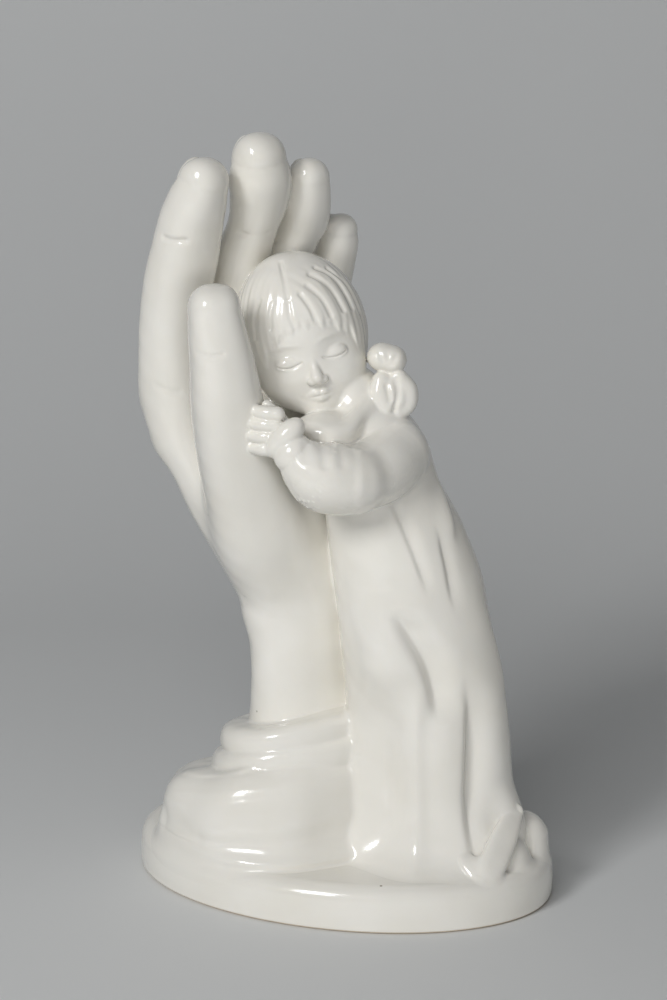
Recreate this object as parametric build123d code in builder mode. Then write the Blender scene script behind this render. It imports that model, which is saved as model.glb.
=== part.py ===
"""Glazed ceramic ornament: an upright left hand cupped round a child in a long gown, on an oval plinth.

The sections are slip-cast or pressed one by one and luted together with slip before the firing.
Millimetres, +Z up. The origin is the middle of the plinth's underside. -Y is the front, the side that
the child's face looks to, and +X is the side of the child's back.
"""

import os
from math import copysign, cos, exp, pi, radians, sin

from build123d import *

# Casting
WALL = 5.0  # cast wall of the hollow sections
KEY_DEPTH = 5.0  # how far a form reaches into the section that carries it, before it is trimmed

# Plinth
PLINTH_LENGTH = 116.0
PLINTH_WIDTH = 82.0
PLINTH_HEIGHT = 12.0
PLINTH_TURN = -25.0  # degrees: the child's end of the oval swings to the front
PLINTH_EDGE = 3.0  # rounding of the upper edge
PLINTH_SKIN = 4.0  # floor and roof of the hollow plinth
POUR_HOLE_RADIUS = 8.0
POUR_HOLE_PLACE = -34.0  # along the oval from its middle
DRAIN_RADIUS = 5.0  # holes in the roof that join the hollow sections to the plinth

# Forearm and wrist
WRIST_X = -10.0
WRIST_Y = 4.0
WRIST_RISE = 54.0  # a rise is a height above the plinth
WRIST_HALF_WIDTH = 16.5
WRIST_HALF_DEPTH = 11.5
FOREARM_HALF_WIDTH = 19.0
FOREARM_HALF_DEPTH = 15.0

# Palm
PALM_TURN = 45.0  # degrees: half way between facing the front and facing the child
PALM_LENGTH = 64.0
PALM_LEAN = 27.0  # how far the knuckles stand behind the wrist
PALM_SHIFT = 4.0  # how far the knuckles stand to the thumb's side of the wrist
KNUCKLE_HALF_WIDTH = 28.5
KNUCKLE_HALF_DEPTH = 10.5
KNUCKLE_FULLNESS = 2.5  # 2 would make the knuckles' outline an ellipse, and more makes its ends blunter
PALM_SWELL = 4.0  # extra half depth at the middle of the palm
KNUCKLE_CROWN = 7.0  # height of the rounding above the knuckles
PALM_BELLY = 2.0  # the middle of the palm comes forward as it swells

# Fingers, each with its tip's rise, its half width and how far its tip curls out over the palm
FINGER_PITCH = 14.8
FINGER_ROW_SHIFT = -2.0  # the middle of the row, from the middle of the wrist
INDEX_RISE = 182.5
INDEX_HALF_WIDTH = 8.4
INDEX_CURL = 16.0
MIDDLE_RISE = 188.0
MIDDLE_HALF_WIDTH = 7.6
MIDDLE_CURL = 20.0
RING_RISE = 180.0
RING_HALF_WIDTH = 6.6
RING_CURL = 22.0
LITTLE_RISE = 164.5
LITTLE_HALF_WIDTH = 6.0
LITTLE_CURL = 21.0
CURL_LATENESS = 1.8  # 1 would lean the fingers straight, and more bends them nearer to their tips
FINGER_TAPER = 0.88  # half width at the tip as a share of the half width at the knuckle

# Thumb
THUMB_ROOT_RISE = 66.0
THUMB_TIP_RISE = 153.0
THUMB_ROOT_ACROSS = -3.0  # the root lies this far to the thumb's side of the wrist's middle
THUMB_REACH = 32.5  # and the tip this much further
THUMB_OUT = 3.8  # the tip stands this far in front of the wrist's middle
THUMB_SINK = 8.5  # and the root this far behind the tip
THUMB_ROOT_HALF_WIDTH = 13.2
THUMB_HALF_WIDTH = 7.6

# Sleeve cloth gathered round the forearm
DRAPE_SHIFT_X = -9.0  # from the middle of the forearm
DRAPE_SHIFT_Y = -4.0
DRAPE_HALF_LENGTH = 31.0
DRAPE_HALF_WIDTH = 31.0
DRAPE_HEIGHT = 20.0
CLOTH_TILT = 0.2  # the cloth lies higher on the palm's side: rise for each unit outwards
FOLD_TOP_RISE = 27.5
FOLD_HEIGHT = 11.0
FOLD_OVERHANG = 8.0
ROLL_TOP_RISE = 34.0
ROLL_HEIGHT = 12.0
ROLL_OVERHANG = 6.0

# Gown
GOWN_X = 23.5
GOWN_Y = -9.0
SKIRT_LENGTH = 100.0
SKIRT_LEAN = 14.8  # how far the chest leans over towards the palm
SKIRT_SHIFT = 2.0  # how far the chest stands behind the hem
HEM_HALF_WIDTH = 21.5
HEM_HALF_DEPTH = 18.5
CHEST_HALF_WIDTH = 15.0
CHEST_HALF_DEPTH = 13.5
PLEAT_COUNT = 9  # small even pleats at the back
PLEAT_DEPTH = 1.2
FOLD_FADE = 0.12  # a fold dies away over this share of the skirt's length
FOLD_ROOM = 3.5  # extra thickness behind the folds
HEM_FLARE = 8.0  # the hem runs out over the plinth at the front
HEM_FLARE_RISE = 5.0
HEM_FLARE_ANGLE = -98.0  # degrees round the skirt from the side of the child's back
HEM_FLARE_SPREAD = 42.0
GOWN_FOLDS = (  # angle round the skirt, height of the fold, half its spread, and the shares where it starts and ends
    (-155, 3.5, 14, 0.0, 0.3),
    (-150, 3.0, 13, 0.0, 0.08),
    (-134, -2.6, 20, 0.0, 0.45),
    (-103, 1.5, 12, 0.0, 0.42),
    (-121, 2.6, 22, 0.46, 0.66),
    (-81, 1.2, 18, 0.0, 0.38),
    (-59, -2.8, 12, 0.0, 0.55),
    (-30, 1.4, 20, 0.0, 0.5),
    (-27, 3.5, 23, 0.0, 0.03),
    (-8, 1.4, 26, 0.46, 0.8),
)
BODICE_HEIGHT = 23.0
BODICE_LEAN = 7.0
NECK_RADIUS = 7.0
HEM_CORNER_ANGLE = -64.0  # where the corner's tip lies on the plinth, in degrees round the hem
HEM_CORNER_REACH = 11.0  # how far the tip lies outside the hem's oval
HEM_CORNER_END_ANGLE = -26.0  # where the corner's edge ends
HEM_CORNER_END_REACH = 3.0
HEM_CORNER_RADIUS = 3.2
HEM_CORNER_HEIGHT = 12.5

# Head and hair
HEAD_LEAN = 11.7  # the head's middle leans this far over from the top of the neck
HEAD_SET_BACK = 7.0
HEAD_LIFT = 11.0
HEAD_RADIUS = 16.6
HEAD_HALF_HEIGHT = 19.5
HEAD_TILT = 14.0  # degrees: the crown leans over to the palm
HAIR_THICKNESS = 1.7
FACE_HALF_WIDTH = 13.0
FACE_HALF_HEIGHT = 14.0
FACE_DROP = 6.0  # the face's middle lies this far below the head's
HAIR_DROP = 9.0  # the hair ends this far below the head's middle
TIE_RADIUS = 4.4
BUNCH_RADIUS = 5.8
BUNCH_HALF_LENGTH = 7.6
BUNCH_HANG = (0.4, -0.2, -1.0)  # the way the bunch hangs

# Arms, hands and foot
SHOULDER_LIFT = 7.0  # above the top of the skirt
LEFT_ELBOW = (-8.7, -29.0, -1.0)  # knees of the sleeves' curves, from the top of the skirt
RIGHT_ELBOW = (-8.7, 29.0, 0.0)
ARM_HALF_WIDTH = 9.4
ARM_END_HALF_WIDTH = 5.6
THUMB_HOLD = 0.58  # where on the thumb the left hand holds on, as a share of its length
LEFT_HOLD_TURN = -34.0  # degrees: the way from the thumb to the left wrist
PALM_HOLD = 0.9  # where on the palm the right hand rests, as a share of its length
PALM_HOLD_ACROSS = 6.0  # and how far to the little finger's side of the wrist's middle
HAND_RISE = 0.3  # the hands slope up by this for each unit of their reach
HAND_RADIUS = 4.2
HAND_HALF_LENGTH = 6.5
SMALL_FINGER_RADIUS = 1.7
SMALL_FINGER_LENGTH = 6.5
SMALL_FINGER_PITCH = 2.9
FOOT_ANGLE = -14.0  # degrees round the hem from the side of the child's back
FOOT_RADIUS = 8.5
FOOT_HALF_LENGTH = 7.0
FOOT_REACH = 3.0  # how far the foot's middle lies outside the hem's oval

PALM_ACROSS = Vector(sin(radians(PALM_TURN)), cos(radians(PALM_TURN)), 0)  # index to little finger
PALM_OUT = Vector(cos(radians(PALM_TURN)), -sin(radians(PALM_TURN)), 0)  # the way the palm faces
UP = Vector(0, 0, 1)
TIP_SWELL = 1.03  # the domed end of a limb is a little fuller than the limb
OVAL_POINTS = 16
GOWN_POINTS = 4 * PLEAT_COUNT
POLE_ANGLE = 4  # degrees of an egg's outline that its flat pole takes the place of

forms = {}
sections = {}


def lute(name, form, *carriers):
    """Keep a section's whole form, and the section: the form less what its carriers fill already."""
    forms[name] = form
    with BuildPart() as section:
        add(form)
        if carriers:
            add([forms[carrier] for carrier in carriers], mode=Mode.SUBTRACT)
    sections[name] = section.part.solids().sort_by(SortBy.VOLUME)[-1]


def hollow(name, core):
    """Empty a section that is cast hollow."""
    with BuildPart() as section:
        add(sections[name])
        add(core, mode=Mode.SUBTRACT)
    sections[name] = section.part.solids().sort_by(SortBy.VOLUME)[-1]


def ease(share):
    """A smooth step from 0 to 1 with level ends."""
    return share * share * (3 - 2 * share)


def between(start, end, share):
    return start + (end - start) * share


def spot(x, y, rise):
    """A point by its place on the plan and its rise."""
    return Vector(x, y, PLINTH_HEIGHT + rise)


def palm_spot(across, out, rise):
    """A point by its place along the row of knuckles, its place in front of the wrist, and its rise."""
    return spot(WRIST_X, WRIST_Y, rise) + PALM_ACROSS * across + PALM_OUT * out


def palm_level(across, out, rise, tilt=0.0):
    """A plane with its X along the row of knuckles: level, or rising towards the palm's side by a tilt."""
    return Plane(origin=palm_spot(across, out, rise), x_dir=PALM_ACROSS, z_dir=UP - PALM_OUT * tilt)


def oval(plane, half_width, half_depth, fullness=2.0, edge=None, count=OVAL_POINTS):
    """An oval face. Fullness 2 makes it an ellipse and more blunts its ends. An edge is a function of
    the angle in degrees that moves the outline out or in."""
    points = []
    for step in range(count):
        angle = 2 * pi * step / count
        wave = edge(360 * step / count) if edge else 0
        across = copysign(abs(cos(angle)) ** (2 / fullness), cos(angle))
        along = copysign(abs(sin(angle)) ** (2 / fullness), sin(angle))
        points.append(((half_width + wave) * across, (half_depth + wave) * along))
    with BuildSketch(plane) as section:
        with BuildLine():
            Spline(*points, periodic=True)
        make_face()
    return section.sketch


def bend(start, knee, end):
    """A path from start to end that is drawn towards a knee: a parabola."""
    return lambda share: start * (1 - share) ** 2 + knee * (2 * share * (1 - share)) + end * share**2


def limb(path, half_width, side, stations=7):
    """A round limb lofted along a path, with a domed end. Both arguments are functions of the share."""
    with BuildPart() as body:
        for step in range(stations):
            share = step / (stations - 1)
            ahead = path(min(share + 0.01, 1)) - path(max(share - 0.01, 0))
            with BuildSketch(Plane(origin=path(share), x_dir=side, z_dir=ahead)):
                Circle(half_width(share))
        loft()
        with Locations(path(1)):
            Sphere(half_width(1) * TIP_SWELL)
    return body.part


def egg(centre, axis, radius, half_length):
    """An ellipsoid of revolution about an axis through its centre, cut flat just short of its poles."""
    pole = half_length * cos(radians(POLE_ANGLE))
    with BuildPart() as body:
        with BuildSketch(Plane(origin=centre, x_dir=axis, z_dir=axis.cross(Vector(0.4, 0.9, 0.2)))):
            with BuildLine():
                arc = EllipticalCenterArc(
                    (0, 0), half_length, radius, start_angle=POLE_ANGLE, arc_size=180 - 2 * POLE_ANGLE
                )
                Polyline(arc @ 1, (-pole, 0), (pole, 0), arc @ 0)
            make_face()
        revolve(axis=Axis(centre, axis))
    return body.part


# Plinth: a hollow oval with a pour hole in its floor and drain holes under the hollow sections
plinth_plane = Plane.XY.rotated((0, 0, PLINTH_TURN))
with BuildPart() as plinth:
    with BuildSketch(plinth_plane):
        Ellipse(PLINTH_LENGTH / 2, PLINTH_WIDTH / 2)
    extrude(amount=PLINTH_HEIGHT)
    fillet(plinth.edges().group_by(Axis.Z)[-1], PLINTH_EDGE)
    with BuildSketch(plinth_plane.offset(PLINTH_SKIN)):
        Ellipse(PLINTH_LENGTH / 2 - WALL, PLINTH_WIDTH / 2 - WALL)
    extrude(amount=PLINTH_HEIGHT - 2 * PLINTH_SKIN, mode=Mode.SUBTRACT)
    with BuildSketch(plinth_plane):
        with Locations((POUR_HOLE_PLACE, 0)):
            Circle(POUR_HOLE_RADIUS)
    extrude(amount=PLINTH_SKIN, mode=Mode.SUBTRACT)
    with BuildSketch(Plane.XY.offset(PLINTH_HEIGHT - PLINTH_SKIN)):
        with Locations((WRIST_X, WRIST_Y), (GOWN_X, GOWN_Y)):
            Circle(DRAIN_RADIUS)
    extrude(amount=PLINTH_SKIN, mode=Mode.SUBTRACT)
sections["plinth"] = plinth.part


# Forearm: a hollow column from the plinth to the wrist
def forearm_loft(inset):
    ovals = []
    for share in (0, 0.5, 1):
        half_width = between(FOREARM_HALF_WIDTH, WRIST_HALF_WIDTH, ease(share)) - inset
        half_depth = between(FOREARM_HALF_DEPTH, WRIST_HALF_DEPTH, ease(share)) - inset
        ovals.append(oval(palm_level(0, 0, WRIST_RISE * share), half_width, half_depth))
    with BuildPart() as column:
        loft(ovals)
    return column.part


lute("forearm", forearm_loft(0))
hollow("forearm", forearm_loft(WALL))


# Palm: leans back from the wrist and widens to the knuckles, and is hollow up to their roots
def palm_loft(inset, length, crown):
    ovals = []
    for step in range(5):
        share = step / 4 * length / PALM_LENGTH
        swell = PALM_SWELL * sin(pi * share)
        half_width = between(WRIST_HALF_WIDTH, KNUCKLE_HALF_WIDTH, ease(share)) - inset
        half_depth = between(WRIST_HALF_DEPTH, KNUCKLE_HALF_DEPTH, share) + swell - inset
        out = PALM_BELLY * sin(pi * share) - PALM_LEAN * share
        level = palm_level(-PALM_SHIFT * share, out, WRIST_RISE + PALM_LENGTH * share)
        ovals.append(oval(level, half_width, half_depth, between(2, KNUCKLE_FULLNESS, share)))
    if crown:
        level = palm_level(-PALM_SHIFT, -PALM_LEAN, WRIST_RISE + length + crown)
        ovals.append(oval(level, half_width - crown, half_depth - crown / 2, KNUCKLE_FULLNESS))
    with BuildPart() as slab:
        loft(ovals)
    return slab.part


lute("palm", palm_loft(0, PALM_LENGTH, KNUCKLE_CROWN))
hollow("palm", palm_loft(WALL, PALM_LENGTH - 2 * WALL, 0))


# Fingers: rise from the knuckles and curl out over the palm
def finger(place, tip_rise, half_width, curl):
    across = FINGER_ROW_SHIFT + (place - 1.5) * FINGER_PITCH
    root_rise = WRIST_RISE + PALM_LENGTH - KEY_DEPTH
    end_rise = tip_rise - half_width * FINGER_TAPER * TIP_SWELL

    def centre(share):
        out = -PALM_LEAN + curl * share**CURL_LATENESS
        return palm_spot(across, out, between(root_rise, end_rise, share))

    return limb(centre, lambda share: half_width * between(1, FINGER_TAPER, share), PALM_ACROSS)


lute("index_finger", finger(0, INDEX_RISE, INDEX_HALF_WIDTH, INDEX_CURL), "palm")
lute("middle_finger", finger(1, MIDDLE_RISE, MIDDLE_HALF_WIDTH, MIDDLE_CURL), "palm", "index_finger")
lute("ring_finger", finger(2, RING_RISE, RING_HALF_WIDTH, RING_CURL), "palm", "middle_finger")
lute("little_finger", finger(3, LITTLE_RISE, LITTLE_HALF_WIDTH, LITTLE_CURL), "palm", "ring_finger")


# Thumb: grows from the heel of the palm and stands in front of the index finger
def thumb_centre(share):
    across = THUMB_ROOT_ACROSS - THUMB_REACH * sin(pi / 2 * share)
    out = THUMB_OUT - THUMB_SINK * (1 - share) ** 2
    end_rise = THUMB_TIP_RISE - THUMB_HALF_WIDTH * TIP_SWELL
    return palm_spot(across, out, between(THUMB_ROOT_RISE, end_rise, share))


def thumb_half_width(share):
    return between(THUMB_HALF_WIDTH, THUMB_ROOT_HALF_WIDTH, (1 - share) ** 1.5)


lute("thumb", limb(thumb_centre, thumb_half_width, PALM_ACROSS), "palm", "forearm", "index_finger")

# Sleeve cloth: a drape that spreads over the plinth, then a fold and a roll round the forearm
drape_middle = spot(WRIST_X + DRAPE_SHIFT_X, WRIST_Y + DRAPE_SHIFT_Y, 0)
with BuildPart() as drape:
    for share, spread in ((0, 1), (0.35, 0.97), (0.75, 0.92), (0.92, 0.84), (1, 0.68)):
        facing = UP - PALM_OUT * CLOTH_TILT * share
        with BuildSketch(Plane(drape_middle + UP * DRAPE_HEIGHT * share, x_dir=PALM_ACROSS, z_dir=facing)):
            Ellipse(DRAPE_HALF_LENGTH * spread, DRAPE_HALF_WIDTH * spread)
    loft()


def gathered_ring(top_rise, height, overhang):
    """A swollen ring of cloth round the forearm."""
    with BuildPart() as ring:
        for share, swell in ((0, 0.7), (0.4, 1), (0.75, 0.85), (1, 0.3)):
            with BuildSketch(palm_level(0, 0, top_rise - height * (1 - share), CLOTH_TILT)):
                Ellipse(FOREARM_HALF_WIDTH + overhang * swell, FOREARM_HALF_DEPTH + overhang * swell)
        loft()
    return ring.part


lute("cuff_drape", drape.part, "forearm")
lute("cuff_fold", gathered_ring(FOLD_TOP_RISE, FOLD_HEIGHT, FOLD_OVERHANG), "forearm", "cuff_drape")
lute("cuff_roll", gathered_ring(ROLL_TOP_RISE, ROLL_HEIGHT, ROLL_OVERHANG), "forearm", "cuff_fold")


# Gown: a folded hollow skirt that leans over to the palm, and a plain bodice
def skirt_centre(share):
    return spot(GOWN_X - SKIRT_LEAN * share**2.2, GOWN_Y + SKIRT_SHIFT * share, SKIRT_LENGTH * share)


def bell(angle, middle, spread, power=2):
    """1 at the middle angle, dying away to both sides."""
    off = (angle - middle + 180) % 360 - 180
    return exp(-(abs(off / spread) ** power))


def skirt_edge(share):
    """How far the folds move the skirt's outline at one level, as a function of the angle."""

    def edge(angle):
        flare = HEM_FLARE * exp(-SKIRT_LENGTH * share / HEM_FLARE_RISE)
        move = flare * bell(angle, HEM_FLARE_ANGLE, HEM_FLARE_SPREAD, 4)
        move += PLEAT_DEPTH * (1 - share) * cos(radians(PLEAT_COUNT * angle)) * bell(angle, 110, 75, 4)
        for middle, height, spread, start, end in GOWN_FOLDS:
            outside = max(start - share, share - end, 0) / FOLD_FADE
            move += height * ease(max(1 - outside, 0)) * bell(angle, middle, spread)
        return move

    return edge


def skirt_loft(inset, folded):
    ovals = []
    for share in (0, 0.06, 0.16, 0.3, 0.5, 0.75, 1) if folded else (0, 0.3, 0.55, 0.8, 1):
        half_width = between(HEM_HALF_WIDTH, CHEST_HALF_WIDTH, share**3) - inset
        half_depth = between(HEM_HALF_DEPTH, CHEST_HALF_DEPTH, share**2) - inset
        edge = skirt_edge(share) if folded else None
        ovals.append(oval(Plane(skirt_centre(share)), half_width, half_depth, 2, edge, GOWN_POINTS))
    with BuildPart() as skirt:
        loft(ovals)
    return skirt.part


chest = skirt_centre(1)
neck = chest + Vector(-BODICE_LEAN, 0, BODICE_HEIGHT)
bodice_ovals = []
for share, slope, lean in ((0, 0, 0), (0.35, 0.1, 0.2), (0.7, 0.45, 0.5), (1, 1, 1)):
    level = Plane(chest + Vector(-BODICE_LEAN * lean, 0, BODICE_HEIGHT * share))
    half_width = between(CHEST_HALF_WIDTH, NECK_RADIUS, slope)
    half_depth = between(CHEST_HALF_DEPTH, NECK_RADIUS, slope)
    bodice_ovals.append(oval(level, half_width, half_depth, count=GOWN_POINTS))
with BuildPart() as bodice:
    loft(bodice_ovals)

hand_and_cuffs = ("forearm", "palm", "thumb", "cuff_drape", "cuff_fold", "cuff_roll")
lute("gown_skirt", skirt_loft(0, True), *hand_and_cuffs)
hollow("gown_skirt", skirt_loft(WALL + FOLD_ROOM, False))
lute("gown_bodice", bodice.part, "palm", "thumb")


# Hem: one corner of it is turned up in front of the child's foot
def hem_spot(angle, reach=0.0):
    """The point at an angle round the hem's oval, or outside it by a reach."""
    along, across = cos(radians(angle)), sin(radians(angle))
    edge = Vector(HEM_HALF_WIDTH * along, HEM_HALF_DEPTH * across, 0)
    return skirt_centre(0) + edge + edge.normalized() * reach


corner_tip = hem_spot(HEM_CORNER_ANGLE, HEM_CORNER_REACH) - UP * HEM_CORNER_RADIUS
corner_end = hem_spot(HEM_CORNER_END_ANGLE, HEM_CORNER_END_REACH) + UP * HEM_CORNER_HEIGHT
with BuildPart() as hem_corner:
    add(limb(lambda share: between(corner_tip, corner_end, share), lambda share: HEM_CORNER_RADIUS, UP, 3))
    split(bisect_by=Plane(skirt_centre(0)), keep=Keep.TOP)
lute("hem_corner", hem_corner.part, "gown_skirt")

foot_axis = Vector(1, 0, 0).rotate(Axis.Z, FOOT_ANGLE)
with BuildPart() as foot:
    add(egg(hem_spot(FOOT_ANGLE, FOOT_REACH), foot_axis, FOOT_RADIUS, FOOT_HALF_LENGTH))
    split(bisect_by=Plane(hem_spot(FOOT_ANGLE)), keep=Keep.TOP)
lute("foot", foot.part, "gown_skirt", "hem_corner")

# Head: an egg that leans on the palm, with its hair as a shell that is open over the face
head_middle = neck + Vector(-HEAD_LEAN, HEAD_SET_BACK, HEAD_LIFT)
head_up = Vector(-sin(radians(HEAD_TILT)), 0, cos(radians(HEAD_TILT)))
head_front = Plane(head_middle, x_dir=Vector(0, 1, 0).cross(head_up), z_dir=Vector(0, -1, 0))
hand = ("palm", "thumb", "index_finger", "middle_finger", "ring_finger", "little_finger")
lute("head", egg(head_middle, head_up, HEAD_RADIUS, HEAD_HALF_HEIGHT), "gown_bodice", *hand)
with BuildPart() as hair:
    add(egg(head_middle, head_up, HEAD_RADIUS + HAIR_THICKNESS, HEAD_HALF_HEIGHT + HAIR_THICKNESS))
    split(bisect_by=Plane(head_middle - head_up * HAIR_DROP, z_dir=head_up), keep=Keep.TOP)
    with BuildSketch(head_front):
        with Locations((0, -FACE_DROP)):
            Ellipse(FACE_HALF_WIDTH, FACE_HALF_HEIGHT)
    extrude(amount=2 * HEAD_RADIUS, mode=Mode.SUBTRACT)
lute("hair", hair.part, "head", "gown_bodice", *hand)

# Bunch: hair drawn together by a tie at the side of the child's left ear
ear = head_middle - head_up * HAIR_DROP / 2 + Vector(HEAD_RADIUS, -HEAD_RADIUS / 3, 0)
tie_middle = ear + Vector(TIE_RADIUS / 2, -TIE_RADIUS / 2, 0)
bunch_axis = Vector(*BUNCH_HANG).normalized()
bunch_middle = tie_middle + bunch_axis * BUNCH_HALF_LENGTH
lute("hair_tie", egg(tie_middle, bunch_axis, TIE_RADIUS, TIE_RADIUS), "hair", "head")
bunch = egg(bunch_middle, bunch_axis, BUNCH_RADIUS, BUNCH_HALF_LENGTH)
lute("hair_bunch", bunch, "hair_tie", "hair", "head", "gown_bodice")


# Arms: each sleeve goes from a shoulder to the hand that holds on to the thumb or the palm
def sleeve(shoulder, elbow, wrist):
    def half_width(share):
        return between(ARM_HALF_WIDTH, ARM_END_HALF_WIDTH, ease(share))

    return limb(bend(shoulder, elbow, wrist), half_width, UP)


def small_hand(wrist, towards):
    """A hand with four fingers in a row, one over the other."""
    middle = wrist + towards * HAND_HALF_LENGTH
    knuckles = middle + towards * HAND_HALF_LENGTH / 2
    with BuildPart() as body:
        add(egg(middle, towards, HAND_RADIUS, HAND_HALF_LENGTH))
        for step in range(4):
            root = knuckles + UP * SMALL_FINGER_PITCH * (step - 1.5)
            middle_joint = root + towards * SMALL_FINGER_LENGTH / 4
            add(egg(middle_joint, towards, SMALL_FINGER_RADIUS, SMALL_FINGER_LENGTH))
    return body.part


hand_length = 1.8 * HAND_HALF_LENGTH
left_shoulder = chest + Vector(CHEST_HALF_WIDTH / 2, -CHEST_HALF_DEPTH / 2, SHOULDER_LIFT)
left_away = Vector(1, 0, -HAND_RISE).rotate(Axis.Z, LEFT_HOLD_TURN).normalized()
left_wrist = thumb_centre(THUMB_HOLD) + left_away * (thumb_half_width(THUMB_HOLD) + hand_length)
left_arm = sleeve(left_shoulder, chest + Vector(*LEFT_ELBOW), left_wrist)
lute("left_sleeve", left_arm, "gown_bodice", "gown_skirt", "head", "hair", "palm", "thumb")
lute("left_hand", small_hand(left_wrist, -left_away), "left_sleeve", "thumb", "palm", "head", "hair")

right_shoulder = chest + Vector(CHEST_HALF_WIDTH / 4, CHEST_HALF_DEPTH / 2, SHOULDER_LIFT)
right_away = (PALM_OUT - UP * HAND_RISE).normalized()
palm_face = palm_spot(
    PALM_HOLD_ACROSS, KNUCKLE_HALF_DEPTH - PALM_LEAN * PALM_HOLD, WRIST_RISE + PALM_LENGTH * PALM_HOLD
)
right_wrist = palm_face + right_away * hand_length
right_arm = sleeve(right_shoulder, chest + Vector(*RIGHT_ELBOW), right_wrist)
lute("right_sleeve", right_arm, "gown_bodice", "gown_skirt", "head", "hair", "palm")
right_grip = small_hand(right_wrist, -right_away)
lute("right_hand", right_grip, "right_sleeve", "palm", "head", "hair", "middle_finger")

os.makedirs("parts", exist_ok=True)
for name, section in sections.items():
    section.label = name
    export_step(section, f"parts/{name}.step")
    print(name, round(section.volume), "mm3")
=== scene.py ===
# %% [markdown]
# # A glazed hand that shelters a child
# The ornament is slip-cast: the hand, the sleeve cloth, the child and the plinth are cast in
# plaster moulds, luted together with wet slip, and dipped in one white glaze. The glaze runs into
# every joint, so the sections meet in soft fillets. That is why this scene describes each section
# by its distance field, and joins the fields smoothly before it makes any mesh.

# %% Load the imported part
import math

import bpy
import numpy as np
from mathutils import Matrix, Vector


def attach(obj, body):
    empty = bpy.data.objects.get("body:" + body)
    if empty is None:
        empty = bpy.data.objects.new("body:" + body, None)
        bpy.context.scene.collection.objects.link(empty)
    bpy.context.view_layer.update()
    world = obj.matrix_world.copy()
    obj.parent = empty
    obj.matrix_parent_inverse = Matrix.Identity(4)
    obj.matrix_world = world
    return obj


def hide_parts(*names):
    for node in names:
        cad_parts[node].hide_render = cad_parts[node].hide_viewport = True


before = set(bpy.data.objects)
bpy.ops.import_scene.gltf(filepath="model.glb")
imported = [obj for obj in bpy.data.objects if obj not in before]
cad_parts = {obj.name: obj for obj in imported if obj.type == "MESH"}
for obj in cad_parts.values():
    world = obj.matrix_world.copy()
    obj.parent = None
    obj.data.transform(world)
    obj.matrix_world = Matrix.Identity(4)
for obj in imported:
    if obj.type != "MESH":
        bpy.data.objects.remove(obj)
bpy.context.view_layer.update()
MM = 0.001
CELL = 0.6
print("sections in the frame:", len(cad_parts))

# %% [markdown]
# ## The stage
# The ornament stands on grey paper that curves up behind it, so that no edge shows. A bent plane
# would do; rows along the profile keep the curve round. A look from behind passes through it.

# %% Paper sweep
def node_kit(name):
    """A new material with its nodes, and three helpers: link joins two sockets, make adds a node,
    and dial sets a node's sockets by name, where an underscore stands for a space."""
    material = bpy.data.materials.new(name)
    material.use_nodes = True
    tree = material.node_tree

    def dial(node, **values):
        for socket, value in values.items():
            node.inputs[socket.replace("_", " ")].default_value = value
        return node

    def make(kind, **values):
        return dial(tree.nodes.new("ShaderNode" + kind), **values)

    return material, tree.nodes, tree.links.new, make, dial


def paper_material(name, colour, roughness, spread=0.05):
    """A matt paper: one colour with a very faint fibre noise in its roughness, clear from behind."""
    material, nodes, link, make, dial = node_kit(name)
    shader = dial(nodes["Principled BSDF"], Base_Color=(*colour, 1))
    fibre = make("TexNoise", Scale=90)
    matt = make("MapRange", To_Min=roughness - spread, To_Max=roughness + spread)
    either = make("MixShader")
    link(make("TexCoord").outputs["Object"], fibre.inputs["Vector"])
    link(fibre.outputs["Fac"], matt.inputs["Value"])
    link(matt.outputs["Result"], shader.inputs["Roughness"])
    link(make("NewGeometry").outputs["Backfacing"], either.inputs["Fac"])
    link(shader.outputs["BSDF"], either.inputs[1])
    link(make("BsdfTransparent").outputs["BSDF"], either.inputs[2])
    link(either.outputs["Shader"], nodes["Material Output"].inputs["Surface"])
    return material


def smooth_mesh(name, points, faces):
    """A smooth shaded mesh from rows of points and lists of corners."""
    mesh = bpy.data.meshes.new(name)
    mesh.from_pydata(points.tolist(), [], faces)
    mesh.polygons.foreach_set("use_smooth", np.ones(len(faces), bool))
    return mesh


def paper_sweep():
    """A sheet (u, v): it lies flat to the back edge, turns up in a quarter circle, then stands."""
    front, run, radius, rise, half = -0.8, 0.25, 0.4, 2.4, 2.5
    flat = np.stack([np.linspace(front, run, 12), np.zeros(12)], 1)
    turn = np.linspace(0, math.pi / 2, 24)[1:]
    curve = np.stack([run + radius * np.sin(turn), radius - radius * np.cos(turn)], 1)
    wall = np.stack([np.full(6, run + radius), np.linspace(radius, rise, 7)[1:]], 1)
    profile = np.vstack([flat, curve, wall])
    across = np.linspace(-half, half, 9)
    u, v = np.meshgrid(across, np.arange(len(profile)))
    points = np.stack([u, profile[v, 0], profile[v, 1]], -1).reshape(-1, 3)
    grid = np.arange(u.size).reshape(u.shape)
    quads = np.stack([grid[:-1, :-1], grid[:-1, 1:], grid[1:, 1:], grid[1:, :-1]], -1).reshape(-1, 4)
    mesh = smooth_mesh("sweep", points, quads.tolist())
    mesh.materials.append(paper_material("paper", (0.76, 0.77, 0.77), 0.8))
    sweep = bpy.data.objects.new("sweep", mesh)
    bpy.context.collection.objects.link(sweep)
    return mesh


print("paper:", len(paper_sweep().polygons), "squares")

# %% [markdown]
# One soft lamp stands at the front left and a weak one above the camera. Two low weak ones at the
# front and the right light upright faces more than the floor, which a brighter sky wouldn't. The
# camera stands where the photographer stood, 13 degrees above the ornament's middle.

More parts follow.
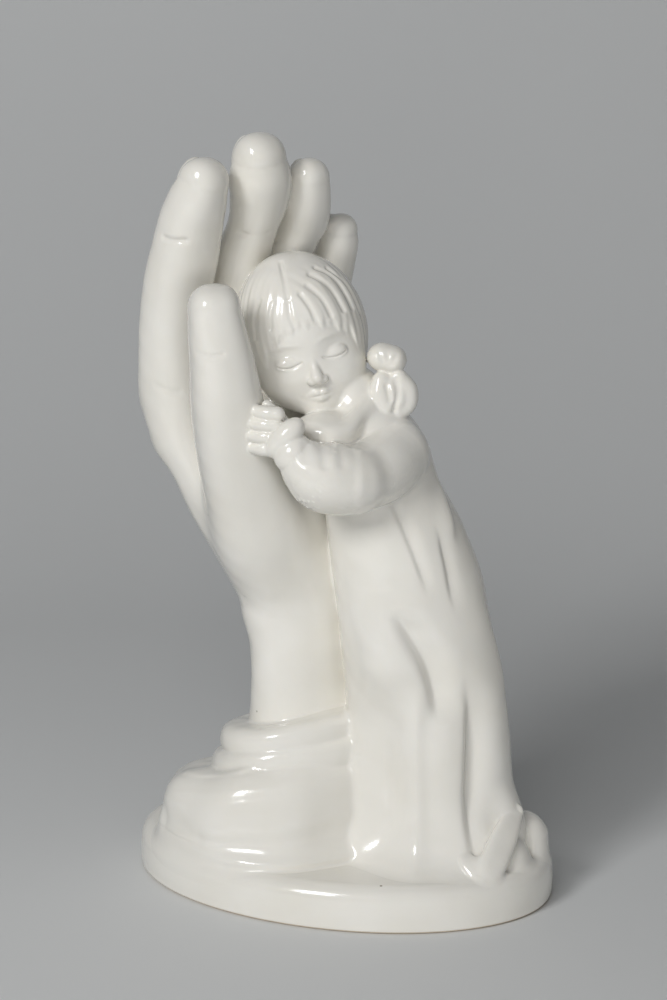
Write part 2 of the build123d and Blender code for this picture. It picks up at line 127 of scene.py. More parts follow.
# %% Lamps and camera
def soft_lamp(name, place, aim, width, height, watts, mirrored=False):
    """A rectangular softbox that faces a point; only a mirrored one shows in the gloss."""
    lamp = bpy.data.lights.new(name, "AREA")
    lamp.shape, lamp.size, lamp.size_y, lamp.energy = "RECTANGLE", width, height, watts
    holder = bpy.data.objects.new(name, lamp)
    holder.location = place
    holder.visible_glossy = mirrored
    holder.rotation_euler = (Vector(aim) - Vector(place)).to_track_quat("-Z", "Y").to_euler()
    bpy.context.collection.objects.link(holder)


CAMERA_AIM = Vector((-0.0028, 0, 0.10394))
CAMERA_DISTANCE = 0.7305
CAMERA_ELEVATION = math.radians(13)
camera = bpy.data.objects.new("camera", bpy.data.cameras.new("camera"))
camera.data.lens = 100
camera.data.sensor_width = 36
back = Vector((0, -math.cos(CAMERA_ELEVATION), math.sin(CAMERA_ELEVATION)))
camera.location = CAMERA_AIM + back * CAMERA_DISTANCE
camera.rotation_euler = (-back).to_track_quat("-Z", "Y").to_euler()
camera.data.clip_start = 0.01
bpy.context.collection.objects.link(camera)
bpy.context.scene.camera = camera
bpy.context.scene.view_settings.view_transform = "Standard"

world = bpy.data.worlds.new("studio")
world.use_nodes = True
sky = world.node_tree.nodes["Background"].inputs
sky["Color"].default_value, sky["Strength"].default_value = (0.55, 0.57, 0.6, 1), 0.06
bpy.context.scene.world = world
soft_lamp("key", (-0.66, -0.88, 0.76), (0, 0, 0.11), 0.34, 0.42, 6.9, mirrored=True)
soft_lamp("above", (-0.2, -0.85, 0.7), (0, 0, 0.15), 0.4, 0.3, 2.0)
soft_lamp("front", (0.15, -1.2, 0.16), (0, 0, 0.12), 0.8, 0.25, 2.8)
soft_lamp("right", (0.9, -0.45, 0.14), (0, 0, 0.1), 0.7, 0.5, 0.6)
print("stage set, camera", tuple(round(c, 3) for c in camera.location))

# %% [markdown]
# ## The glaze
# A white tin glaze over buff clay: glossy, a little uneven in tint, with a few pinholes where
# bubbles burst in the kiln. The bare foot of the plinth shows the fired clay. A painted texture
# could carry this, but noise on object coordinates needs no picture and runs over the joints
# without a break.

# %% Glaze material
def glaze_material():
    """Noise tints the white, bumps the gloss; sparse cell centres become pinholes."""
    material, nodes, link, make, dial = node_kit("white_glaze")
    place = make("TexCoord").outputs["Object"]

    def noise(scale, detail):
        node = make("TexNoise", Scale=scale, Detail=detail)
        link(place, node.inputs["Vector"])
        return node.outputs["Fac"]

    def ranged(source, **ends):
        node = make("MapRange", **ends)
        link(source, node.inputs["Value"])
        return node.outputs["Result"]

    def ramp(source, stops):
        node = make("ValToRGB")
        for element, stop in zip(node.color_ramp.elements, stops):
            element.position, element.color = stop
        link(source, node.inputs["Fac"])
        return node.outputs["Color"]

    def mix(kind, first, second):
        node = make("Mix")
        node.data_type, node.blend_type = "RGBA", kind
        dial(node, Factor=1.0)
        link(first, node.inputs["A"])
        link(second, node.inputs["B"])
        return node.outputs["Result"]

    tint = ramp(noise(45, 4), [(0.3, (0.83, 0.805, 0.735, 1)), (0.7, (0.88, 0.86, 0.805, 1))])
    speck = make("TexVoronoi", Scale=207)
    link(place, speck.inputs["Vector"])
    pits = ramp(speck.outputs["Distance"], [(0.05, (0.3, 0.26, 0.2, 1)), (0.09, (1, 1, 1, 1))])
    rare = ramp(noise(33, 2), [(0.64, (1, 1, 1, 1)), (0.66, (0, 0, 0, 1))])
    split = make("SeparateXYZ")
    link(place, split.inputs["Vector"])
    height = ranged(split.outputs["Z"], From_Max=0.001)
    foot = ramp(height, [(0.35, (0.72, 0.6, 0.46, 1)), (0.75, (1, 1, 1, 1))])
    pitted = mix("MULTIPLY", tint, mix("LIGHTEN", pits, rare))
    peel = make("Bump", Strength=0.12, Distance=0.0006)
    link(noise(210, 3), peel.inputs["Height"])
    shader = dial(nodes["Principled BSDF"], IOR=1.52, Coat_Weight=0.25, Coat_Roughness=0.06,
                  Subsurface_Weight=0.06, Subsurface_Radius=(0.002, 0.0016, 0.0011))
    link(mix("MULTIPLY", pitted, foot), shader.inputs["Base Color"])
    link(ranged(noise(120, 3), To_Min=0.1, To_Max=0.2), shader.inputs["Roughness"])
    link(peel.outputs["Normal"], shader.inputs["Normal"])
    return material


GLAZE = glaze_material()
print("glaze:", len(GLAZE.node_tree.nodes), "nodes")

# %% [markdown]
# ## Distance fields
# A form is a function that gives, for an array of points, how far each lies outside the surface
# (negative inside). Two forms are joined with a minimum that is rounded where they are about
# equally near: that rounding is the glaze fillet. Meshes joined by booleans would meet in hard
# seams instead.

# %% Field tools
class Form:
    """A body: its distance function, and the box outside which it need not be asked."""

    def __init__(self, distance, low, high):
        self.distance, self.low, self.high = distance, np.asarray(low, float), np.asarray(high, float)


def joined(a, b, fillet):
    """The smaller distance, less a sixth of the fillet times the cube of how alike the two are."""
    alike = np.maximum(fillet - np.abs(a - b), 0) / fillet
    return np.minimum(a, b) - fillet / 6 * alike**3


def cut(a, b, fillet):
    """The larger distance, rounded the same way: what lies in both."""
    return -joined(-a, -b, fillet)


def step(x, start, end):
    """A smooth step from 0 at start to 1 at end."""
    share = np.clip((x - start) / (end - start), 0, 1)
    return share * share * (3 - 2 * share)


def bell(x, width, power=2):
    """One at zero and next to nothing two widths away: e to the minus power of x over width."""
    return np.exp(-((x / width) ** power))


print("where two forms are equally near, a 3 mm fillet adds", -joined(0.0, 0.0, 3.0), "mm")

# %% [markdown]
# Smooth lines carry the limbs and the folds. Blender's curves could hold them, but here each point
# has to find its nearest place on a line, so the lines are cubics in plain arrays.

# %% Smooth lines
def spans(points):
    """A smooth line through rows of numbers: the coefficients of one cubic per span, whose slope
    at each row is half the way from the row before to the row after."""
    rows = np.asarray(points, float)
    slope = np.gradient(rows, axis=0)
    rise = rows[1:] - rows[:-1]
    bend = 3 * rise - 2 * slope[:-1] - slope[1:]
    return np.stack([rows[:-1], slope[:-1], bend, slope[:-1] + slope[1:] - 2 * rise], 1)


def at(cubics, u):
    """The line's value and its rate of change at u, which counts rows from 0."""
    span = np.minimum(u.astype(int), len(cubics) - 1)
    t, c = (u - span)[:, None], cubics[span]
    value = ((c[:, 3] * t + c[:, 2]) * t + c[:, 1]) * t + c[:, 0]
    return value, (3 * c[:, 3] * t + 2 * c[:, 2]) * t + c[:, 1]


def nearest(cubics, P):
    """Where on a line each point is nearest: the best of eight samples a span, then two steps
    towards the place where the gap stands square to the line."""
    ends = len(cubics)
    u = np.linspace(0, ends, 8 * ends + 1)
    sample = at(cubics, u)[0][:, :3]
    u = u[np.argmin((sample * sample).sum(1) - 2 * P @ sample.T, 1)]
    for _ in range(2):
        spot, way = at(cubics, u)
        square = ((P - spot[:, :3]) * way[:, :3]).sum(1) / (way[:, :3] ** 2).sum(1)
        u = np.clip(u + square, 0, ends)
    return at(cubics, u)[0]


def eased(x, knots, values):
    """A smooth curve through values at rising knots: cubic spans that share their slopes."""
    knots, values = np.asarray(knots, float), np.asarray(values, float)
    rate = np.gradient(values, knots, axis=0)
    x = np.clip(x, knots[0], knots[-1])
    span = np.clip(np.searchsorted(knots, x) - 1, 0, len(knots) - 2)
    wide = np.diff(knots)[span]
    t = (x - knots[span]) / wide
    shares = ((1 + 2 * t) * (1 - t) ** 2, t * (1 - t) ** 2 * wide,
              t * t * (3 - 2 * t), -t * t * (1 - t) * wide)
    terms = zip(shares, (values[span], rate[span], values[span + 1], rate[span + 1]))
    return sum(v * (w if values.ndim == 1 else w[:, None]) for w, v in terms)


def unit(*parts):
    """A direction of length 1."""
    return np.array(parts, float) / np.linalg.norm(parts)


print("a point beside a line finds", nearest(spans([(0, 0, 0), (0, 0, 9)]), np.array([[4.0, 0, 5]]))[0])

# %% [markdown]
# Three kinds of body are enough for the figure: limbs are thick smooth lines, eggs are ellipsoids,
# and stacks are ovals piled up by height.

# %% Limbs, eggs and stacks
def limb(points, side=None, thin=1.0, fullness=2.0):
    """A thick line through rows (x, y, z, half width). Along the side direction it is thinned,
    and a fullness above 2 squares its section and blunts its ends."""
    cubics = spans(points)

    def distance(P):
        spot = nearest(cubics, P)
        gap = P - spot[:, :3]
        square = (gap * gap).sum(1)
        if side is None:
            return np.sqrt(square) - spot[:, 3]
        u = np.abs(gap @ side) / thin
        v = np.sqrt(np.maximum(square - (u * thin) ** 2, 0))
        return (u**fullness + v**fullness) ** (1 / fullness) - spot[:, 3]

    line = at(cubics, np.linspace(0, len(cubics), 6 * len(cubics) + 1))[0]
    room = line[:, 3:4]
    return Form(distance, (line[:, :3] - room).min(0), (line[:, :3] + room).max(0))


def egg(centre, radii, axes=np.eye(3)):
    """An ellipsoid: the scaled length less one, over its own slope."""
    centre, radii, axes = np.asarray(centre, float), np.asarray(radii, float), np.asarray(axes, float)

    def distance(P):
        q = (P - centre) @ axes.T / radii
        k = np.sqrt((q * q).sum(1)) + 1e-9
        return (k - 1) * k / (np.sqrt(((q / radii) ** 2).sum(1)) + 1e-9)

    room = np.abs(axes.T) @ radii
    return Form(distance, centre - room, centre + room)


def stack(levels, fillet, across=(1, 0), out=(0, 1)):
    """Ovals piled up by height: rows (z, x, y, half across, half out, fullness). Where the ovals
    shrink fast with height, the distance is divided by how far the flank leans."""
    rows = np.asarray(levels, float)
    heights = np.linspace(rows[0, 0], rows[-1, 0], 200)
    flank = np.hypot(1, np.gradient(eased(heights, rows[:, 0], rows[:, 3]), heights))

    def distance(P):
        x, y, wide, deep, full = eased(P[:, 2], rows[:, 0], rows[:, 1:]).T
        dx, dy = P[:, 0] - x, P[:, 1] - y
        u = np.abs(dx * across[0] + dy * across[1]) / wide + 1e-6
        v = np.abs(dx * out[0] + dy * out[1]) / deep + 1e-6
        k = (u**full + v**full) ** (1 / full)
        slope = k ** (1 - full) * np.hypot(u ** (full - 1) / wide, v ** (full - 1) / deep)
        side = (k - 1) / slope / np.interp(P[:, 2], heights, flank)
        return cut(cut(side, P[:, 2] - rows[-1, 0], fillet), rows[0, 0] - P[:, 2], fillet)

    room = rows[:, 3:5].max() + 0.5
    low, high = rows[:, :3].min(0), rows[:, :3].max(0)
    return Form(distance, (low[1] - room, low[2] - room, low[0]), (high[1] + room, high[2] + room, high[0]))


print("1 mm above an egg:", egg((0, 0, 0), (2, 3, 4)).distance(np.array([[0, 0, 5.0]]))[0].round(3))

# %% [markdown]
# Bodies are joined into one, or their distance is changed: more distance is a groove, less is a
# ridge.

# %% Joining and carving
def union(fillet, *forms):
    """Forms joined one after another with the same fillet."""

    def distance(P):
        total = forms[0].distance(P)
        for form in forms[1:]:
            near = inside(form, P, fillet + 1)
            total[near] = joined(total[near], form.distance(P[near]), fillet)
        return total

    return Form(distance, np.min([f.low for f in forms], 0), np.max([f.high for f in forms], 0))


def carved(form, change, margin=0.0):
    """A form whose distance is changed by a function of (points, distance)."""
    return Form(lambda P: change(P, form.distance(P)), form.low - margin, form.high + margin)


def inside(form, P, margin):
    """Which points lie in a form's box, with a margin."""
    return np.all((P > form.low - margin) & (P < form.high + margin), 1)


def grooved(form, *grooves):
    """A form with grooves (points, depth, width): each takes off a bell-shaped depth along a line."""

    def change(P, d):
        for points, depth, width in grooves:
            rows = np.asarray(points, float)
            near = np.flatnonzero(np.all((P > rows.min(0) - 3 * width) & (P < rows.max(0) + 3 * width), 1))
            if len(near):
                gap = P[near] - nearest(spans(rows), P[near])
                d[near] += depth * np.exp(-(gap * gap).sum(1) / width**2)
        return d

    return carved(form, change)


def told(*names):
    """Print the box of each named piece."""
    for name in names:
        print(f"{name}:", (PIECES[name].high - PIECES[name].low).round().astype(int), "mm")


PIECES = {}
print("tools ready, pieces so far:", len(PIECES))

# %% [markdown]
# ## The hand
# A left hand stands on its forearm with the palm turned half to the child. It could be sculpted
# with brushes; ovals piled up for the palm and thick lines for the fingers keep every measure in
# sight. The measures run along two directions on the plan: across the row of knuckles, and out of
# the palm.

# %% Forearm, palm and fingers
ACROSS = unit(1, 1, 0)
OUT = unit(1, -1, 0)
WRIST = np.array([-10.0, 4.0, 0.0])
TOP = 12.0


def hand_spot(across, out, z):
    """A place by its distance along the knuckles, in front of the wrist, and its height."""
    return WRIST + ACROSS * across + OUT * out + np.array([0, 0, z])


def hand_stack(fillet, *rows):
    """Ovals of the hand piled up: rows (z, across, out, half across, half out, fullness)."""
    levels = [(z, *hand_spot(across, out, 0)[:2], *oval) for z, across, out, *oval in rows]
    return stack(levels, fillet, ACROSS, OUT)


PIECES["forearm"] = hand_stack(
    6,
    (9, 0, 0, 19, 15, 2), (36, 0, 0, 18.2, 13.8, 2), (52, 0, 0, 16.9, 12.2, 2),
    (66, 0, -1.5, 15.8, 11.2, 2.05), (74, -0.2, -3.6, 16.4, 11, 2.1),
)
palm = hand_stack(
    9,
    (58, 0.6, 0, 14.4, 10.4, 2), (66, 1.2, -1, 14.4, 11, 2.05), (82, 0.2, -6.75, 16.8, 12.2, 2.15),
    (98, -2, -13.5, 21.8, 12.8, 2.3), (114, -3, -20.25, 24.8, 11.8, 2.4), (128, -3.4, -26, 25, 10.2, 2.4),
    (139, -3.4, -27.5, 23.4, 8.4, 2.4),
)
KNUCKLE_OUT, KNUCKLE_RADII = -33, (6.2, 4.4, 7)
KNUCKLES = ((-20.5, 131), (-8, 133), (5.4, 131), (18, 126))
knuckles = [egg(hand_spot(across, KNUCKLE_OUT, z), KNUCKLE_RADII, [ACROSS, OUT, (0, 0, 1)])
            for across, z in KNUCKLES]
heel = limb([(-9.5, 2.5, 66, 8.5), (-11, 3, 80, 10), (-13, 3.5, 92, 10.5), (-14.5, 5, 104, 10.5),
             (-15.5, 9, 116, 9.5), (-17, 13, 126, 8)])
PIECES["palm"] = union(7, palm, heel, *knuckles)

FINGERS = {
    "index_finger": [
        (-42, 7.6, 121, 8.2), (-44.2, 6.6, 134.8, 8.7), (-44.6, 6, 143, 8.8), (-44.3, 5, 151, 8.8),
        (-42.9, 3, 161.5, 8.7), (-41.2, 1, 169, 8.5), (-39.4, -1.6, 177.4, 8), (-37.5, -4, 183.4, 7.2),
        (-35.8, -5.6, 188.4, 6.2),
    ],
    "middle_finger": [
        (-35.6, 16.4, 121, 7.8), (-34.6, 15.8, 134, 7.8), (-31.8, 14.8, 150, 7.8), (-28.7, 13.5, 160, 7.8),
        (-26.4, 12, 167.6, 6.9), (-23.9, 9.4, 175, 6.3), (-22.1, 6.6, 182.4, 7.3), (-21.7, 4.2, 188.2, 7.8),
        (-21.8, 2.6, 193.4, 6.7),
    ],
    "ring_finger": [
        (-26.2, 26.4, 121, 7), (-24, 25.6, 136, 6.9), (-18.8, 21.4, 154, 6.8), (-15.3, 18.6, 166, 6.4),
        (-12.7, 17.2, 171, 5.8), (-10.8, 16, 176, 6.4), (-9.8, 13.5, 181.3, 6.1), (-9.2, 11.3, 187.4, 5.2),
    ],
    "little_finger": [
        (-15.6, 35.8, 118, 6), (-12.4, 33.6, 132, 5.8), (-8.2, 30.2, 147, 6), (-4.5, 28, 156.7, 5.8),
        (-3, 25.6, 163, 5.6), (-1.7, 23.4, 169, 5.3), (-1.2, 22.4, 172.2, 4.6),
    ],
}
FINGER_FULLNESS = 2.3
NAIL_BACK, NAIL_UP, NAIL_FILLET = 0.25, 0.78, 0.4
NAIL_PLATE, NAIL_RIM = np.array([0.66, 0.34, 0.95]), np.array([0.74, 0.42, 1.06])
RIM_DEPTH, RIM_WIDTH = 0.35, 0.5


def nailed(points):
    """A finger with a nail plate let into the back of its tip, sized by the tip's half width."""
    tip, below = np.asarray(points[-1], float), np.asarray(points[-3], float)
    ahead = unit(*(tip[:3] - below[:3]))
    rear = unit(*(-OUT - (-OUT @ ahead) * ahead))
    axes = [np.cross(ahead, rear), rear, ahead]
    middle = tip[:3] - ahead * tip[3] * NAIL_BACK + rear * tip[3] * NAIL_UP
    plate, rim = egg(middle, tip[3] * NAIL_PLATE, axes), egg(middle, tip[3] * NAIL_RIM, axes)

    def change(P, d):
        d = d + RIM_DEPTH * bell(rim.distance(P), RIM_WIDTH)
        return joined(d, plate.distance(P), NAIL_FILLET)

    return carved(limb(points, ACROSS, 1.0, FINGER_FULLNESS), change)


for name, points in FINGERS.items():
    PIECES[name] = nailed(points)
told("forearm", "palm", *FINGERS)

# %% [markdown]
# The joints of the fingers show as short creases on the palm's side. The thumb grows out of its
# ball at the heel of the palm; the web towards the index finger is nothing but a wide fillet.

# %% Joint creases and thumb
PIECES["thumb"] = limb(
    [(-12.4, 5, 72, 8.6), (-16.6, 0.4, 85, 11.2), (-21.8, -6, 97, 11.8), (-25.4, -11.6, 109.5, 10.6),
     (-28.4, -17, 123.2, 9.6), (-29.9, -20.6, 135, 9), (-30.8, -22.4, 144, 8.1),
     (-31.8, -23.2, 151.5, 7.3), (-32.6, -23.8, 158.4, 6.5)],
    unit(1, 0.35, 0), 1.0, 2.4,
)
CREASES = {
    "index_finger": [([(-46, -6.2, 174), (-43.4, -8.1, 173.6), (-40.4, -8.8, 173.8)], 0.5, 0.8),
                     ([(-49.5, -1.6, 134.6), (-46, -2.8, 133.6), (-43, -2.6, 133.2)], 0.35, 0.9)],
    "middle_finger": [([(-34, 7.5, 174), (-28, 3.8, 173.5), (-20.5, 5, 174.5)], 0.5, 0.9)],
    "ring_finger": [([(-20, 14, 171), (-14.5, 13.6, 170), (-7.5, 16, 170.5)], 0.45, 0.9)],
    "thumb": [([(-37.5, -29.2, 148), (-34, -30.6, 147.4), (-30.5, -30.2, 148)], 0.3, 0.8)],
}
for name, creases in CREASES.items():
    PIECES[name] = grooved(PIECES[name], *creases)
told("thumb")

# %% [markdown]
# ## Sleeve cloth
# Three tiers of gathered cloth lie round the forearm: a roll, a fold under it, and a drape that
# spreads over the plinth. A cloth simulation would fold too finely for a cast. So the roll and the
# fold are rings whose height and swell wave a little as they go round, and the drape is a stack of
# ovals with soft folds and a rolled hem.

# %% Cuffs
def lean(P, centre, amount):
    """The cloth lies higher on the palm's side: a cosine round the forearm."""
    angle = np.arctan2(P[:, 1] - centre[1], P[:, 0] - centre[0])
    return amount * np.cos(angle + math.pi / 4), angle


def ring_form(centre, half, z, swell, lift, wave, phase, full=2.6):
    """A rolled ring round an oval: radial and vertical offsets measured against its swell."""

    def distance(P):
        dx, dy = P[:, 0] - centre[0], P[:, 1] - centre[1]
        u, v = dx * ACROSS[0] + dy * ACROSS[1], dx * OUT[0] + dy * OUT[1]
        raised, angle = lean(P, centre, lift)
        k = np.hypot(u / half[0], v / half[1]) + 1e-6
        radial = (k - 1) * k / (np.hypot(u / half[0] ** 2, v / half[1] ** 2) + 1e-6)
        radial = radial - wave * np.cos(3 * angle + phase) - 0.5 * wave * np.cos(5 * angle - phase)
        height = P[:, 2] - z - raised - 0.6 * wave * np.sin(4 * angle + 2 * phase)
        r, h = np.abs(radial) / swell[0] + 1e-6, np.abs(height) / swell[1] + 1e-6
        k = (r**full + h**full) ** (1 / full)
        outer = (k - 1) * k ** (full - 1) / np.hypot(r ** (full - 1) / swell[0], h ** (full - 1) / swell[1])
        return np.where(radial < 0, np.abs(height) - swell[1], outer)

    middle, wide = np.array([*centre, z], float), max(half) + swell[0] + 5
    room = np.array([wide, wide, swell[1] + lift + 4])
    return Form(distance, middle - room, middle + room)


PIECES["cuff_roll"] = ring_form((-10, 4), (20.6, 17.0), 41.1, (4.6, 4.0), 4.0, 0.4, 0.4)
PIECES["cuff_fold"] = ring_form((-10.5, 3.6), (21.8, 18.6), 34.6, (4.6, 4.6), 5.0, 0.5, 1.7)
drape_levels = [
    (4, -19, 0, 31.6, 30.4, 2.1), (12, -19, 0, 31.6, 30.2, 2.1), (15, -19, 0, 31, 29.6, 2.1),
    (19, -19, 0, 30.3, 28.6, 2.1), (23, -19, 0.1, 29.4, 27.4, 2.1), (27, -18.8, 0.3, 29, 26.2, 2.1),
    (30, -18.6, 0.6, 28.2, 24.8, 2.1), (32.4, -18.2, 1.2, 26.2, 22.4, 2.1), (34, -17.4, 1.6, 23, 19.5, 2.1),
    (34.8, -16, 2, 18, 16.5, 2),
]
DRAPE_MIDDLE, DRAPE_LIFT, LIFT_FROM, LIFT_TO = (-19, 0), 5.0, 13, 26
HEM_ROLL, ROLL_Z, ROLL_WIDTH = 1.0, 13.8, 1.3
HEM_GROOVE, GROOVE_Z, GROOVE_WIDTH = 0.9, 17.0, 1.8


def draped(form):
    """Lift the drape on the palm's side, and run soft folds round it and a rolled hem in front."""

    def distance(P):
        raised, angle = lean(P, DRAPE_MIDDLE, DRAPE_LIFT)
        z = P[:, 2] - raised * step(P[:, 2], LIFT_FROM, LIFT_TO)
        d = form.distance(np.stack([P[:, 0], P[:, 1], z], 1))
        folds = 0.35 * np.cos(5 * angle + 0.08 * z) + 0.3 * np.cos(8 * angle - 0.12 * z + 1)
        hem = HEM_ROLL * bell(z - ROLL_Z, ROLL_WIDTH) - HEM_GROOVE * bell(z - GROOVE_Z, GROOVE_WIDTH)
        return d - folds - hem * step(angle, -2.7, -2.0) * step(angle, 0.2, -0.6)

    return Form(distance, form.low - 4, form.high + (4, 4, 8))


PIECES["cuff_drape"] = grooved(
    draped(stack(drape_levels, 3)),
    ([(-47, -9, 18), (-43, -15.5, 18.5), (-38, -20, 17.5)], 1.2, 3.6),
)
told("cuff_roll", "cuff_fold", "cuff_drape")

# %% [markdown]
# ## The gown
# The skirt hangs in a few broad folds. It is one star-shaped section, because then every fold can
# be set one by one: at each height and each angle round its leaning middle line it has one radius.
# The folds are curves of angle against height, each with a depth and a width to either side, so
# that a fold may have one sharp and one gentle flank.

# %% Gown
SKIRT_LENGTH, SKIRT_FOOT, SKIRT_TOP = 100, 6, 116
SKIRT_HALF, SKIRT_TAPER = (21.5, 18.5), (6.5, 5)
GOWN_X, GOWN_Y, GOWN_LEAN, GOWN_BEND, GOWN_BACK = 23.5, -9, 14.8, 2.2, 2
HEM_FLARE, FLARE_ANGLE, FLARE_SPREAD, FLARE_RISE = 9.0, -0.15, 0.8, 5
BACK_PLEATS, PLEAT_DEPTH = 9, 1.2


def gown_middle(z):
    """The middle line: it leans over to the palm as it rises, by a power of its share of the length."""
    share = np.clip((z - TOP) / SKIRT_LENGTH, 0, 1.2)
    return GOWN_X - GOWN_LEAN * share**GOWN_BEND, GOWN_Y + GOWN_BACK * share


def fold(z, angle, radius, curve, depth, left, right, fade):
    """Depth times a bell across the curve (rows of height, degrees), faded out at both ends."""
    rows = np.asarray(curve, float)
    start, end = rows[0, 0], rows[-1, 0]
    off = (angle - np.radians(eased(z, rows[:, 0], rows[:, 1]))) * radius
    ends = step(z, start - fade, start + fade) * (1 - step(z, end - fade, end + fade))
    return depth * bell(off, np.where(off < 0, left, right)) * ends


# Each fold: its curve, its depth (below zero a groove), its widths to the left and right, its fade
SKIRT_FOLDS = [
    ([(8, -13), (30, -14), (49, -12), (56, -8)], 1.5, 7, 2.5, 5),
    ([(6, -45), (35, -44), (56, -36)], -2.6, 8, 8, 9),
    ([(6, -64), (25, -65), (40, -70)], 3.5, 5, 6, 12),
    ([(6, -60), (14, -60), (22, -60)], 3.2, 5, 7, 10),
    ([(54, 9.5), (60, 8.5), (66, 5), (73, -5), (78, -12)], -2.4, 2.0, 5.0, 4),
    ([(58, -34), (68, -32), (78, -30)], 2.6, 8, 8, 8),
    ([(6, 9), (28, 9), (50, 12)], 1.2, 8, 8, 8),
    ([(5, 25), (14, 26), (30, 29), (44, 34), (54, 38)], -2.6, 1.7, 4.2, 11),
    ([(58, 85), (80, 80), (106, 84)], 1.4, 10, 10, 8),
    ([(8, 46), (18, 46), (28, 46)], -2.6, 4, 4, 7),
    ([(6, 58), (30, 60), (60, 62)], 1.4, 8, 8, 8),
    ([(87, 19), (93, 17), (102, 13), (110, 9)], -0.7, 1.0, 2.2, 4),
    ([(83, 41), (90, 44), (98, 47)], -0.8, 1.0, 2.2, 5),
    ([(98, 58), (106, 69), (112, 80)], 0.8, 3, 1.5, 4),
    ([(6, 92), (40, 92), (80, 84)], -1.4, 3, 5, 8),
]
# Each swell of the hem over the foot: its height, angle and spread, and where it starts and ends to fade
HEM_SWELLS = ((5.5, 0.62, 0.3, 13, 32), (4.2, 1.1, 0.4, 20, 34))


def skirt_distance(P):
    """Distance from the middle line less the folded radius, eased to keep slopes near one."""
    z = P[:, 2]
    x, y = gown_middle(z)
    dx, dy = P[:, 0] - x, P[:, 1] - y
    angle = np.arctan2(dx, -dy)
    share = np.clip((z - TOP) / SKIRT_LENGTH, 0, 1)
    wide, deep = SKIRT_HALF[0] - SKIRT_TAPER[0] * share**3, SKIRT_HALF[1] - SKIRT_TAPER[1] * share**2
    radius = 1 / np.hypot(np.sin(angle) / wide, np.cos(angle) / deep)
    folded = radius.copy()
    for row in SKIRT_FOLDS:
        folded += fold(z, angle, radius, *row)
    flare = bell(angle - FLARE_ANGLE, FLARE_SPREAD, 4) * np.exp(-np.maximum(z - TOP, 0) / FLARE_RISE)
    folded += HEM_FLARE * flare
    for swell, middle, spread, full, gone in HEM_SWELLS:
        folded += swell * bell(angle - middle, spread) * (1 - step(z, full, gone))
    behind = step(np.abs(angle), 1.9, 2.3)
    folded += behind * (1 - share) * PLEAT_DEPTH * np.cos(BACK_PLEATS * angle)
    side = (np.hypot(dx, dy) - folded) * 0.9
    return cut(cut(side, z - SKIRT_TOP, 5), SKIRT_FOOT - z, 2)


PIECES["gown_skirt"] = Form(skirt_distance, (-10, -42, SKIRT_FOOT), (52, 16, SKIRT_TOP))
bodice = stack(
    [(106, 9.6, -7.1, 14.6, 13.4, 2), (113, 8.6, -7, 14.9, 13.5, 2), (121, 7.4, -7, 14.2, 12.8, 2.1),
     (128, 5.6, -7, 11.4, 10.4, 2), (134, 3, -6.4, 8, 7.6, 2), (140, 0.5, -5.4, 6.6, 6.4, 2)],
    4,
)
breast = egg((-5, -15.5, 122.5), (9.5, 9, 8.5))
collar = limb([(-11, -17.5, 127, 1.8), (-8, -20.4, 126.6, 2.3), (-3.8, -21.8, 126, 2.5),
               (0.4, -20.2, 126.8, 2.4), (3.6, -16.4, 129.8, 2.2), (8, -11, 133, 1.8),
               (11, -5, 135, 1.5)])
PIECES["gown_bodice"] = union(3.0, bodice, breast, collar)
told("gown_skirt", "gown_bodice")

# %% [markdown]
# ## Sleeves and small hands
# Both arms reach out to the big hand: the left one round the front to hold the thumb, the right
# one behind to lie on the palm. Each sleeve is two puffs with a crease at the elbow. Thick lines
# do for the puffs and for the small fingers alike, as the glaze has rounded every edge.

# %% Arms
upper_left = limb([(12.6, -12.6, 118.8, 9.4), (9.6, -18.2, 116.8, 9.1), (6.6, -21.8, 115.8, 8.7),
                   (3, -25, 115.4, 8)])
lower_left = limb([(2.2, -26.4, 115.2, 8.8), (-1.5, -27.6, 115.6, 9.2), (-6, -28.6, 117, 9),
                   (-9.5, -29, 119.4, 7.4), (-12.6, -29.2, 122.4, 5.4)])
elbow = limb([(3.4, -29.6, 122.4, 0.9), (3.7, -33, 118.5, 1.3), (3.7, -33.8, 115, 1.4),
              (3.5, -32.6, 111, 1)])
PIECES["left_sleeve"] = grooved(
    union(2.4, upper_left, lower_left, elbow),
    ([(-5.4, -30, 126.6), (-5.2, -34, 124.4), (-5, -36.4, 121.4)], 0.9, 1.2),
    ([(-1.4, -31.6, 124.2), (-0.8, -34.8, 121.2)], 0.35, 1.5),
    ([(-9.6, -33, 125.4), (-9.8, -35.4, 122.6)], 0.4, 1.2),
)
upper_right = limb([(10, 0, 119.5, 8.4), (8.8, 8, 118, 9.2), (5.4, 13, 117, 9)])
lower_right = limb([(6.5, 12.6, 117.5, 8.4), (1, 15.6, 118.6, 8.4), (-5, 16.4, 121.4, 7),
                    (-10, 16.4, 124, 5.2)])
PIECES["right_sleeve"] = union(0.9, upper_right, lower_right)
HAND_SHARE, HAND_HALF_WIDTH, HAND_HALF_DEPTH = 0.62, 5.6, 3.6
FINGER_GAP, FINGER_ARCH, FINGER_RADII = 3.0, -0.9, (1.9, 1.8, 1.5)


